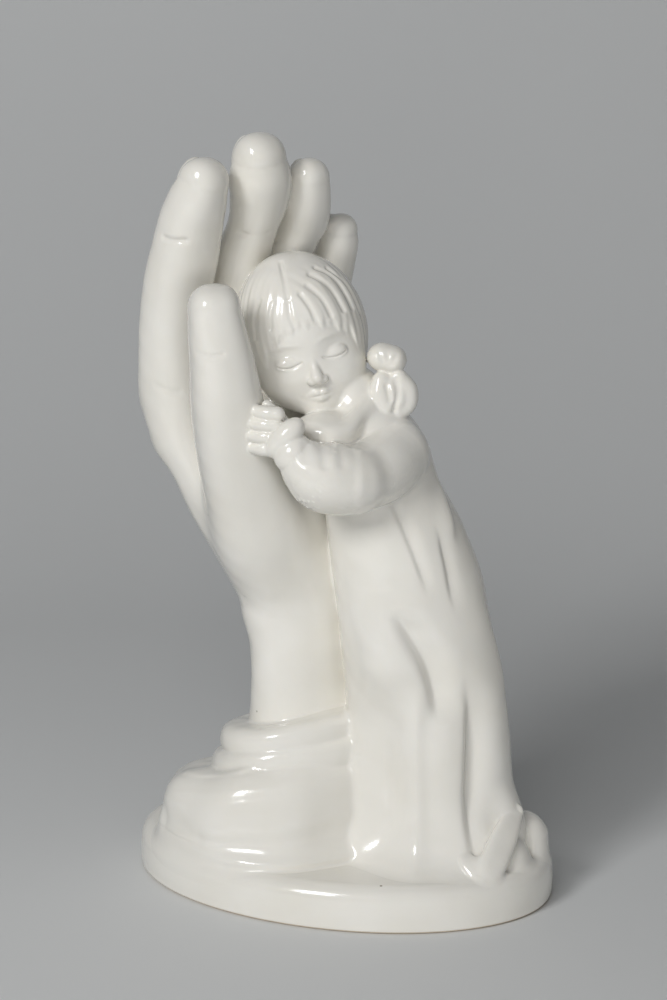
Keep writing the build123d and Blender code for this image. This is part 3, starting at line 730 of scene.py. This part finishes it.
def small_hand(wrist, knuckle, tips, spread, *thumbs):
    """A back of the hand as a flat egg, four arched fingers side by side, and a thumb if it shows."""
    wrist, knuckle = np.asarray(wrist, float), np.asarray(knuckle, float)
    ahead = unit(*(knuckle - wrist))
    palm_side = np.cross(ahead, spread)
    radii = (np.linalg.norm(knuckle - wrist) * HAND_SHARE, HAND_HALF_WIDTH, HAND_HALF_DEPTH)
    rows = [egg((wrist + knuckle) / 2, radii, [ahead, spread, palm_side])]
    for place, tip in zip((-1.5, -0.5, 0.5, 1.5), tips):
        root = knuckle + spread * place * FINGER_GAP
        middle = (root + np.asarray(tip, float)) / 2 + palm_side * FINGER_ARCH
        rows.append(limb([(*spot, radius) for spot, radius in zip((root, middle, tip), FINGER_RADII)]))
    return union(0.5, *rows, *(limb(points) for points in thumbs))


PIECES["left_hand"] = small_hand(
    (-12.6, -29.6, 125.2), (-17.4, -28.6, 128.2),
    [(-23, -25.6, 123.4), (-23.8, -25.6, 126.6), (-24, -25.4, 129.9), (-22.8, -25.4, 133)],
    unit(0.12, 0, 1), [(-14, -27.8, 128.4, 1.8), (-16.8, -26.8, 131.8, 1.6), (-19.6, -25.6, 134.4, 1.3)],
)
PIECES["right_hand"] = small_hand(
    (-9.2, 16.6, 123.4), (-14.2, 16.4, 127),
    [(-19.5, 17.4, 126), (-20, 16.4, 129), (-19.6, 15.4, 132), (-17.8, 14.4, 134.4)],
    unit(0.3, -0.3, 1),
)
told("left_sleeve", "right_sleeve", "left_hand", "right_hand")

# %% [markdown]
# ## Head and hair
# The head is an egg that tilts to the palm. The face is a plain study head of our own: eyes on
# the middle line, one eye's width apart, closed; the nose ends half way from there to the chin.
# The hair is a second skin, combed from a middle part, with a fringe.

# %% Head
HEAD = np.array([-10.8, -0.5, 148.0])
HEAD_UP = unit(-math.sin(math.radians(14)), 0, math.cos(math.radians(14)))
front = unit(0.16, -1, -0.2)
HEAD_FRONT = unit(*(front - (front @ HEAD_UP) * HEAD_UP))
HEAD_SIDE = np.cross(HEAD_UP, HEAD_FRONT)
HEAD_AXES = np.stack([HEAD_SIDE, HEAD_FRONT, HEAD_UP])


def head_spot(side, ahead, up):
    """A place on the head by its own three directions."""
    return HEAD + HEAD_SIDE * side + HEAD_FRONT * ahead + HEAD_UP * up


def head_egg(side, ahead, up, radii):
    """An egg on the head's own directions."""
    return egg(head_spot(side, ahead, up), radii, HEAD_AXES)


def pair(side, ahead, up, radii):
    """The same egg on both sides of the head."""
    return [head_egg(way * side, ahead, up, radii) for way in (1, -1)]


def head_limb(*rows):
    """A thick line through rows (side, ahead, up, half width)."""
    return limb([(*head_spot(*row[:3]), row[3]) for row in rows])


skull = union(
    7,
    head_egg(0, -0.4, 0.8, (15.6, 16.6, 19.2)),
    head_egg(0, 3.2, -8.4, (12, 11.6, 11)),
    head_egg(0, 10.2, -16.4, (4.6, 4.4, 3.8)),
    *pair(7, 7.4, -9.2, (5.8, 6.2, 5.8)),
)
nose = union(
    0.9,
    head_limb((0, 15, -4.4, 1), (0, 15.8, -6.8, 1.25), (0, 16.7, -9, 1.7)),
    *pair(1.6, 15.9, -9.7, (1.2, 1.5, 1.1)),
)
lips = union(
    0.5,
    head_limb((-3.2, 14, -13.3, 0.45), (-1.2, 15.1, -12.95, 0.85), (0, 15.2, -13.15, 0.8),
              (1.2, 15.1, -12.95, 0.85), (3.2, 14, -13.3, 0.45)),
    head_limb((-2.5, 14.1, -14.1, 0.5), (0, 14.9, -14.5, 1.05), (2.5, 14.1, -14.1, 0.5)),
)
EYE_SIDE, BROW_SIDE, EYE_UP, SOCKET_UP, LASH_UP, BROW_UP = 5.9, 6.0, -4.2, -3.2, -5.2, 0.6
SOCKET_DEPTH, LASH_DEPTH, BROW_RISE = 0.7, 0.4, 0.25
lids = union(0.4, *pair(EYE_SIDE, 13, EYE_UP, (3.5, 2.2, 2.3)))
face = union(1.1, skull, nose, lips)


def face_details(P, d):
    """Sockets are pressed in, lids are laid on, and the lash lines are drawn with a soft point."""
    q = (P - HEAD) @ HEAD_AXES.T
    ahead = step(q[:, 1], 4, 9)
    for sign in (-1, 1):
        socket = bell(q[:, 0] - sign * EYE_SIDE, 4.4) * bell(q[:, 2] - SOCKET_UP, 3.2)
        d = d + ahead * SOCKET_DEPTH * socket
    d = joined(d, lids.distance(P), 0.9)
    for sign in (-1, 1):
        u = (q[:, 0] - sign * EYE_SIDE) / 3.2
        lash = q[:, 2] - LASH_UP - 0.8 * u * u
        d = d + ahead * LASH_DEPTH * bell(lash, 0.34) * (1 - step(np.abs(u), 0.85, 1.15))
        off = q[:, 0] - sign * BROW_SIDE
        brow = q[:, 2] - BROW_UP + 0.9 * (off / 4.4) ** 2
        d = d - ahead * BROW_RISE * bell(brow, 0.8) * bell(off, 4.0, 4)
    return d


neck = limb([(1.5, -6.2, 130, 6.6), (-2.5, -4, 136, 6.4), (-6, -1.5, 141, 6.2)])
PIECES["head"] = union(2.0, carved(face, face_details, 1), neck)
told("head")

# %% [markdown]
# The hair could be modelled strand by strand, but it was cast as one skin over the head. So it is
# a cap, cut away over the face and the nape, with a fine wave for the comb's lines and deeper
# grooves for the part and the fringe.

# %% Hair
CAP_MIDDLE, CAP_RADII = (0, -0.7, 1.2), (17.1, 17.5, 20.8)
hair_cap = head_egg(*CAP_MIDDLE, CAP_RADII)
face_opening = head_egg(0.6, 18.0, -8.0, (13.8, 20, 12.6))


def cap_spots(*places):
    """Places on the cap's front from (side, up) pairs: how far ahead follows from the egg."""
    side, up = np.array(places, float).T
    left = 1 - ((side - CAP_MIDDLE[0]) / CAP_RADII[0]) ** 2 - ((up - CAP_MIDDLE[2]) / CAP_RADII[2]) ** 2
    ahead = CAP_MIDDLE[1] + CAP_RADII[1] * np.sqrt(np.maximum(left, 0.01))
    return np.stack([head_spot(*row) for row in zip(side, ahead, up)])


def combed(P, d):
    """The cap is cut off along the fringe and the nape, then combed: strands are level lines of a
    slanting measure, so they leave the part sideways and hang straight at the front and sides."""
    q = (P - HEAD) @ HEAD_AXES.T
    side, ahead, up = q[:, 0], q[:, 1], q[:, 2]
    measure = 0.8 * ahead - 0.6 * np.sqrt((side + 1.8) ** 2 + 1)
    strands = np.sin(1.5 * measure) + 0.6 * np.sin(3.1 * measure + 1)
    d = d - 0.08 * strands * step(up, 20, 14)
    opening = face_opening.distance(P) + 0.4 * np.sin(1.5 * side + 0.5) + 0.25 * np.sin(3.1 * side)
    d = cut(d, -opening, 4.0)
    return cut(d, -10 + 0.25 * ahead - up, 1.5)


# Each groove: its places on the cap, its depth and its width
COMB_LINES = (
    (((-1.2, 20.5), (-1.8, 16), (-2.2, 12.5)), 0.5, 0.6),
    (((-2.4, 11), (-2.8, 8), (-2.6, 5.5)), 0.6, 0.55),
    (((1.2, 12.5), (2.6, 9), (3.2, 5.5)), 0.7, 0.6),
    (((3.6, 14), (6.2, 10), (7.4, 5.5)), 0.8, 0.65),
    (((5, 16.2), (8.8, 12.5), (11, 5.5)), 0.8, 0.65),
    (((7, 17.2), (11.2, 13.2), (13.6, 5)), 0.8, 0.65),
    (((10, 16), (13.6, 11), (15.4, 3)), 0.6, 0.6),
    (((-6, 12), (-7.6, 9), (-8.2, 6)), 0.4, 0.6),
    (((-9, 13), (-11.4, 9), (-12.4, 4)), 0.4, 0.6),
)
grooves = [(cap_spots(*places), depth, width) for places, depth, width in COMB_LINES]
PIECES["hair"] = grooved(carved(hair_cap, combed, 1), *grooves)
PIECES["hair_tie"] = grooved(
    union(1.8, egg((9.8, -8.6, 143.6), (4, 4.6, 3.7)), egg((12.6, -9, 143), (3.4, 4.4, 3.6))),
    ([(13.6, -13.2, 145.2), (12, -13.6, 142.6)], 0.6, 0.7),
    ([(8.4, -12.8, 146.2), (9.8, -13.4, 143)], 0.6, 0.7),
    ([(11, -13, 146.6), (11, -13.6, 142.4)], 0.5, 0.7),
)
PIECES["hair_bunch"] = grooved(
    union(
        1.6,
        egg((12.2, -9, 134), (5.6, 5.8, 6.2)),
        limb([(14, -11, 138.4, 2.4), (16.2, -10.8, 135.4, 2.6), (16, -10.6, 131.8, 2.6),
              (13.6, -11.2, 129.8, 2.2)]),
        limb([(9.4, -11.4, 138, 2.4), (9, -12.2, 134.4, 2.7), (10.4, -12.4, 131, 2.4)]),
    ),
    ([(13.2, -13.4, 138.6), (13.6, -14.4, 134.8), (12.6, -13.6, 131)], 0.7, 0.8),
    ([(10.8, -14, 137), (11.6, -14.8, 133.6)], 0.4, 0.7),
)
told("hair", "hair_tie", "hair_bunch")

# %% [markdown]
# ## Hem corner and foot
# One corner of the hem is turned up like a leaf, and the foot behind it lifts the hem a little. A
# thick line that is thinned in one direction gives the leaf without any new tool.

# %% Hem corner and foot
LEAF_FACE = unit(0.35, -1, 0.5)
PIECES["hem_corner"] = union(
    4.0,
    limb([(45, -19.4, 24.4, 2.2), (42.4, -24.8, 20.8, 3.4), (39.8, -29.8, 17, 3.8),
          (37.8, -33.6, 13.8, 3.4), (36.6, -35.8, 11.4, 2)], LEAF_FACE, 0.5, 3.0),
    limb([(30.4, -29, 17.6, 1.2), (31.8, -32.4, 15.2, 2.4), (34, -34.4, 13.2, 2.8),
          (36.4, -35.6, 11.6, 2.4)], LEAF_FACE, 0.6, 2.8),
)
PIECES["foot"] = grooved(
    union(2.5, egg((47.2, -13.2, 12), (8, 7.6, 10.4)), egg((41.6, -21.4, 10.4), (8, 8.6, 9.2))),
    ([(47.2, -19.2, 19.4), (48.4, -20.4, 15.6), (48.6, -22, 10.6)], 1.4, 0.9),
)
told("hem_corner", "foot")

# %% [markdown]
# ## From fields to one glazed skin
# The whole figure is one field: the hand, then the cloth, then the child, each joined with its own
# fillet, and the plinth's top as a ground that everything flares into. Sections that are meshed
# one by one would need these fillets modelled by hand.

# %% The figure's field
PLINTH_TURN = math.radians(-25)
PLINTH_HALF = (58.0, 41.0)
PLINTH_EDGE = 4.2
PLINTH_AXES = np.array([[math.cos(PLINTH_TURN), math.sin(PLINTH_TURN)],
                        [-math.sin(PLINTH_TURN), math.cos(PLINTH_TURN)]])


def plinth_side(P):
    """Distance outside the plinth's oval, whatever the height."""
    u, v = (P[:, :2] @ PLINTH_AXES.T / PLINTH_HALF).T
    k = np.hypot(u, v) + 1e-6
    return (k - 1) * k / (np.hypot(u / PLINTH_HALF[0], v / PLINTH_HALF[1]) + 1e-6)


def plinth_distance(P, sink=0.0):
    """An oval slab with a rounded upper edge."""
    side = plinth_side(P) + PLINTH_EDGE
    above = P[:, 2] - TOP + PLINTH_EDGE
    round_off = np.hypot(np.maximum(side, 0), np.maximum(above, 0)) + np.minimum(np.maximum(side, above), 0)
    return round_off - PLINTH_EDGE + sink


GROUND_FILLET, GROUND_SINK = 3.0, 0.1
EDGE_ROOM, EDGE_HEIGHT = 0.6, 16
FAR, REACH = 30.0, 4.5
JOIN_ORDER = (
    ("forearm", 5.0), ("palm", 7.0), ("fingers", 8.0), ("thumb", 9.0), ("cuff_roll", 1.2),
    ("cuff_fold", 1.2), ("cuff_drape", 1.4), ("gown_skirt", 2.6), ("gown_bodice", 3.0),
    ("left_sleeve", 1.2), ("right_sleeve", 1.4), ("head", 1.2), ("hair", 1.8), ("hair_tie", 1.0),
    ("hair_bunch", 1.0), ("left_hand", 0.8), ("right_hand", 0.8), ("hem_corner", 0.7), ("foot", 1.0),
)
NAMES = list(PIECES)


def unevenness(P):
    """A slow hand-made waviness, from sines along four slanting directions."""
    a = np.sin(P @ np.array([0.31, 0.17, 0.11]) + 1.0) * np.sin(P @ np.array([-0.13, 0.29, 0.19]) + 2.0)
    b = np.sin(P @ np.array([0.49, -0.23, 0.37])) * np.sin(P @ np.array([0.21, 0.43, -0.41]) + 0.7)
    return 0.07 * a + 0.04 * b


FINGER_FORM = union(3.0, *(PIECES[name] for name in FINGERS))


def figure(P, labels=False, reach=REACH):
    """The joined distance at each point, and if asked the piece that is nearest there. Close to
    the plinth nothing stands out over its edge."""
    total = np.full(len(P), FAR)
    for name, fillet in JOIN_ORDER:
        form = FINGER_FORM if name == "fingers" else PIECES[name]
        near = np.flatnonzero(inside(form, P, fillet + reach))
        if len(near):
            total[near] = joined(total[near], form.distance(P[near]), fillet)
    ground = plinth_distance(P, GROUND_SINK)
    over_edge = plinth_side(P) + EDGE_ROOM - np.maximum(P[:, 2] - EDGE_HEIGHT, 0)
    total = cut(total + unevenness(P), over_edge, GROUND_FILLET)
    level = joined(total, ground, GROUND_FILLET)
    if not labels:
        return level
    best = np.full(len(P), FAR)
    owner = np.full(len(P), -1)
    for number, name in enumerate(NAMES):
        near = np.flatnonzero(inside(PIECES[name], P, 4))
        if len(near):
            d = PIECES[name].distance(P[near])
            won = d < best[near]
            best[near[won]], owner[near[won]] = d[won], number
    owner[total - ground > GROUND_FILLET] = -1
    return level, owner


print("field in the palm and over the hand:", figure(np.array([(-20, 12, 100), (-20, 12, 205.0)])).round(1))

# %% [markdown]
# A field can be meshed with marching cubes, which leave slivers, or with surface nets, which give
# squares of even size. The net is drawn where the field is zero, first in coarse cells and then
# only in the fine cells near it. Its vertices then slide along the field's slope on to the
# surface, where the slope is also the exact normal.

# %% Net of the zero level
def slope(P, h=0.05):
    """The field's gradient from four corners of a small tetrahedron."""
    corners = np.array([(1, -1, -1), (-1, -1, 1), (-1, 1, -1), (1, 1, 1)], float)
    return sum(c * figure(P + c * h)[:, None] for c in corners) / (4 * h)


def settle(P):
    """Move points along the gradient on to the zero level; the unit gradients are the normals."""
    g = slope(P)
    steep = np.maximum((g * g).sum(1), 0.05)
    move = (figure(P) / steep)[:, None] * g
    return P - np.clip(move, -0.6, 0.6), g / np.sqrt(steep)[:, None]


def net(low, high, cell):
    """Surface nets: one vertex in each cell that the surface passes, one square across each edge."""
    low = np.asarray(low, float)
    size = cell * 4
    counts = np.ceil((np.asarray(high) - low) / size).astype(int)
    cells = np.stack(np.meshgrid(*(np.arange(n) for n in counts), indexing="ij"), -1).reshape(-1, 3)
    corner = np.stack(np.meshgrid((0, 1), (0, 1), (0, 1), indexing="ij"), -1).reshape(-1, 3)
    while True:
        middle = low + (cells + 0.5) * size
        cells = cells[np.abs(figure(middle, reach=2 * size)) < 2.0 * size]
        if size <= cell * 1.001:
            break
        cells = (cells[:, None] * 2 + corner).reshape(-1, 3)
        size = size / 2
    span = cells.max(0) + 3

    def key(c):
        return (c[..., 0].astype(np.int64) * span[1] + c[..., 1]) * span[2] + c[..., 2]

    codes, first = np.unique(key(cells), return_index=True)
    cells = cells[first]
    corners = cells[:, None] + corner
    points, back_to = np.unique(key(corners).ravel(), return_inverse=True)
    spots = np.zeros((len(points), 3))
    spots[back_to.ravel()] = corners.reshape(-1, 3)
    values = figure(low + spots * cell)[back_to].reshape(-1, 8)
    full = values < 0
    mixed = full.any(1) & ~full.all(1)
    cells, codes, values, full = cells[mixed], codes[mixed], values[mixed], full[mixed]
    edges = np.argwhere(np.triu(np.abs(corner[:, None] - corner).sum(2) == 1))
    a, b = values[:, edges[:, 0]], values[:, edges[:, 1]]
    crossed = full[:, edges[:, 0]] != full[:, edges[:, 1]]
    t = np.where(crossed, a / np.where(crossed, a - b, 1), 0)[..., None]
    spots = corner[edges[:, 0]] * (1 - t) + corner[edges[:, 1]] * t
    vertex = low + (cells + (spots * crossed[..., None]).sum(1) / crossed.sum(1)[:, None]) * cell
    quads = []
    for axis in range(3):
        one, two = (axis + 1) % 3, (axis + 2) % 3
        far = np.zeros(3, int)
        far[axis] = 1
        far = int(np.flatnonzero((corner == far).all(1))[0])
        use = np.flatnonzero(full[:, 0] != full[:, far])
        ring = []
        for da, db in ((0, 0), (1, 0), (1, 1), (0, 1)):
            c = cells[use].copy()
            c[:, one] -= da
            c[:, two] -= db
            found = np.minimum(np.searchsorted(codes, key(c)), len(codes) - 1)
            ring.append(np.where(codes[found] == key(c), found, -1))
        ring = np.stack(ring, 1)
        ring[~full[use, 0]] = ring[~full[use, 0]][:, ::-1]
        quads.append(ring[(ring >= 0).all(1)])
    return vertex, np.vstack(quads)


figure_low = np.min([p.low for p in PIECES.values()], 0) - 3
figure_high = np.max([p.high for p in PIECES.values()], 0) + 3
figure_low[2] = TOP - 8
skin, skin_quads = net(figure_low, figure_high, CELL)
skin, skin_normals = settle(skin)
print("skin:", len(skin), "vertices,", len(skin_quads), "squares")

# %% [markdown]
# ## Cut the skin into sections
# Each square belongs to the section that is nearest to its middle. Where two sections are about
# equally near the border would be ragged, so a square follows most of its neighbours.

# %% Owners of the squares
def edges_of(quads):
    """The four directed edges of each square, one under another."""
    return np.stack([quads, np.roll(quads, -1, 1)], -1).reshape(-1, 2)


def tidied(quads, owner, rounds=6):
    """Give a square to the owner that most of its four neighbours have, so no specks remain."""
    edges = np.sort(edges_of(quads), 1)
    _, pair = np.unique(edges, axis=0, return_inverse=True)
    pair = pair.ravel()
    order = np.argsort(pair, kind="stable")
    same = np.flatnonzero(pair[order][1:] == pair[order][:-1])
    mate = np.full(len(edges), -1)
    mate[order[same]], mate[order[same + 1]] = order[same + 1] // 4, order[same] // 4
    mate = mate.reshape(-1, 4)
    for _ in range(rounds):
        around = np.where(mate >= 0, owner[mate], owner[:, None])
        votes = (around[:, :, None] == around[:, None, :]).sum(2)
        winner = around[np.arange(len(owner)), votes.argmax(1)]
        owner = np.where(votes.max(1) >= 3, winner, owner)
    return owner


_, nearest_owner = figure(skin[skin_quads].mean(1), labels=True)
owner = tidied(skin_quads, nearest_owner)
print("squares that changed section:", int((owner != nearest_owner).sum()))

# %% [markdown]
# A section's patch is given a wall: a copy of it is set in along the normals, and the two are
# closed round the rim. Blender's solidify would do this too, but would lose the exact normals.
# Patches with fine detail have their squares cut in four first.

# %% Sections
def refined(points, normals, quads):
    """Each square in four; new points settle on the field, except along the patch's rim."""
    edges = np.sort(edges_of(quads), 1)
    lines, pair, count = np.unique(edges, axis=0, return_inverse=True, return_counts=True)
    middles, lean_over = points[lines].mean(1), normals[lines].mean(1)
    inner = count > 1
    middles[inner], lean_over[inner] = settle(middles[inner])
    hearts, heart_normals = settle(points[quads].mean(1))
    e = pair.reshape(-1, 4) + len(points)
    h = np.arange(len(quads)) + len(points) + len(lines)
    small = [np.stack([quads[:, k], e[:, k], h, e[:, k - 1]], 1) for k in range(4)]
    points, normals = np.vstack([points, middles, hearts]), np.vstack([normals, lean_over, heart_normals])
    return points, normals, np.vstack(small)


def glazed(name, mesh):
    """Give a mesh the glaze, and let it take the place of the CAD section of that name."""
    mesh.materials.append(GLAZE)
    piece = bpy.data.objects.new(name + "_glazed", mesh)
    bpy.context.collection.objects.link(piece)
    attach(piece, "root")
    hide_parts(name)


def section(name, points, normal, quads):
    """A closed shell: the outer patch, its inner copy turned over, and the rim between them."""
    rim = edges_of(quads)
    _, pair, count = np.unique(np.sort(rim, 1), axis=0, return_inverse=True, return_counts=True)
    rim = rim[count[pair.ravel()] == 1]
    n = len(points)
    walls = np.stack([rim[:, 1], rim[:, 0], rim[:, 0] + n, rim[:, 1] + n], 1)
    everything = np.vstack([quads, quads[:, ::-1] + n, walls])
    spots = np.vstack([points, points - normal * WALL]) * MM
    mesh = bpy.data.meshes.new(name)
    mesh.vertices.add(len(spots))
    mesh.vertices.foreach_set("co", spots.astype(np.float32).ravel())
    mesh.loops.add(everything.size)
    mesh.loops.foreach_set("vertex_index", everything.astype(np.int32).ravel())
    mesh.polygons.add(len(everything))
    mesh.polygons.foreach_set("loop_start", np.arange(0, everything.size, 4, dtype=np.int32))
    mesh.update(calc_edges=True)
    mesh.polygons.foreach_set("use_smooth", np.ones(len(everything), bool))
    mesh.normals_split_custom_set_from_vertices(np.vstack([normal, -normal]))
    glazed(name, mesh)
    print(f"{name}: {2 * len(everything)} triangles")


WALL = 0.8
FINE = ("head", "hair", "hair_tie", "hair_bunch", "left_hand", "right_hand", "hem_corner")
for number, name in enumerate(NAMES):
    mine = skin_quads[owner == number]
    used, mine = np.unique(mine, return_inverse=True)
    points, normals, mine = skin[used], skin_normals[used], mine.reshape(-1, 4)
    if name in FINE:
        points, normals, mine = refined(points, normals, mine)
    section(name, points, normals, mine)

# %% [markdown]
# ## The plinth
# The plinth could come out of the same field, but rings keep its edge and its foot even. It is one
# grid of rings: from the middle of its top outwards, over the rounded edge, down the side, under
# the foot, and in to the pour hole, whose bore ends in a dome.

# %% Plinth
ROUND, TOP_RINGS, EDGE_RINGS = 240, 28, 12
SIDE_SWELL, FOOT_ROUND = 0.25, 1.2
FOOT_RING = ((4.5, 0), (5.2, 0.25), (6.0, 0.8))
POUR_HOLE, POUR_RADIUS, DOME_Z, DOME_RISE = -34.0, 8.0, 4.0, 3


def plinth():
    """Rows are rings of the oval: each has an inset from the edge, a height and a share towards
    the pour hole; columns go round. The rings of the top are then settled on the plinth's field."""
    around = np.linspace(0, 2 * math.pi, ROUND, endpoint=False)
    ways = np.stack([np.cos(around), np.sin(around)], 1)
    oval, outward = ways * PLINTH_HALF, ways / PLINTH_HALF
    outward /= np.linalg.norm(outward, axis=1, keepdims=True)
    heart = np.array([POUR_HOLE, 0.0])
    bore = heart + POUR_RADIUS * ways
    bend = np.linspace(0, math.pi / 2, EDGE_RINGS)
    side = TOP - PLINTH_EDGE
    rings = [(oval * share, TOP) for share in np.linspace(0.04, 0.86, TOP_RINGS)]
    rings += [(oval - outward * PLINTH_EDGE * (1 - math.sin(a)), side + PLINTH_EDGE * math.cos(a))
              for a in bend]
    rings += [(oval + outward * SIDE_SWELL * math.sin(math.pi * s), side - (side - FOOT_ROUND) * s)
              for s in np.linspace(0.08, 1, 10)]
    rings += [(oval - outward * FOOT_ROUND * (1 - math.cos(a)), FOOT_ROUND - FOOT_ROUND * math.sin(a))
              for a in bend[1:]]
    rings += [(oval - outward * inset, height) for inset, height in FOOT_RING]
    inner, floor = rings[-1]
    rings += [(inner + (bore - inner) * s, floor) for s in np.linspace(0.1, 0.97, 12)]
    rings += [(bore, height) for height in (0.9, 1.3, DOME_Z)]
    rings += [(heart + (bore - heart) * s, DOME_Z + DOME_RISE * (1 - s * s)) for s in (0.8, 0.5, 0.2)]
    flat = np.stack([ring for ring, _ in rings])
    heights = np.array([height for _, height in rings], float)
    heights = np.broadcast_to(heights[:, None, None], (*flat.shape[:2], 1))
    points = np.concatenate([flat @ PLINTH_AXES, heights], -1)
    settled = TOP_RINGS + EDGE_RINGS
    upper = points[:settled].reshape(-1, 3)
    for _ in range(4):
        lift = np.eye(3) * 0.01
        g = np.stack([plinth_distance(upper + e) - plinth_distance(upper - e) for e in lift], 1) / 0.02
        upper = upper - plinth_distance(upper)[:, None] * g
    points[:settled] = upper.reshape(settled, -1, 3)
    return points


rows = plinth()
count, around = rows.shape[:2]
spots = np.vstack([rows.reshape(-1, 3), rows[0].mean(0), rows[-1].mean(0)])
ids = np.arange(count * around).reshape(count, around)
turned_ids = np.roll(ids, -1, 1)
faces = np.stack([ids[:-1], ids[1:], turned_ids[1:], turned_ids[:-1]], -1).reshape(-1, 4).tolist()
top_pole, hole_pole = count * around, count * around + 1
faces += np.stack([np.full(around, top_pole), ids[0], turned_ids[0]], 1).tolist()
faces += np.stack([np.full(around, hole_pole), turned_ids[-1], ids[-1]], 1).tolist()
glazed("plinth", smooth_mesh("plinth", spots * MM, faces))
print("plinth:", len(faces), "faces")
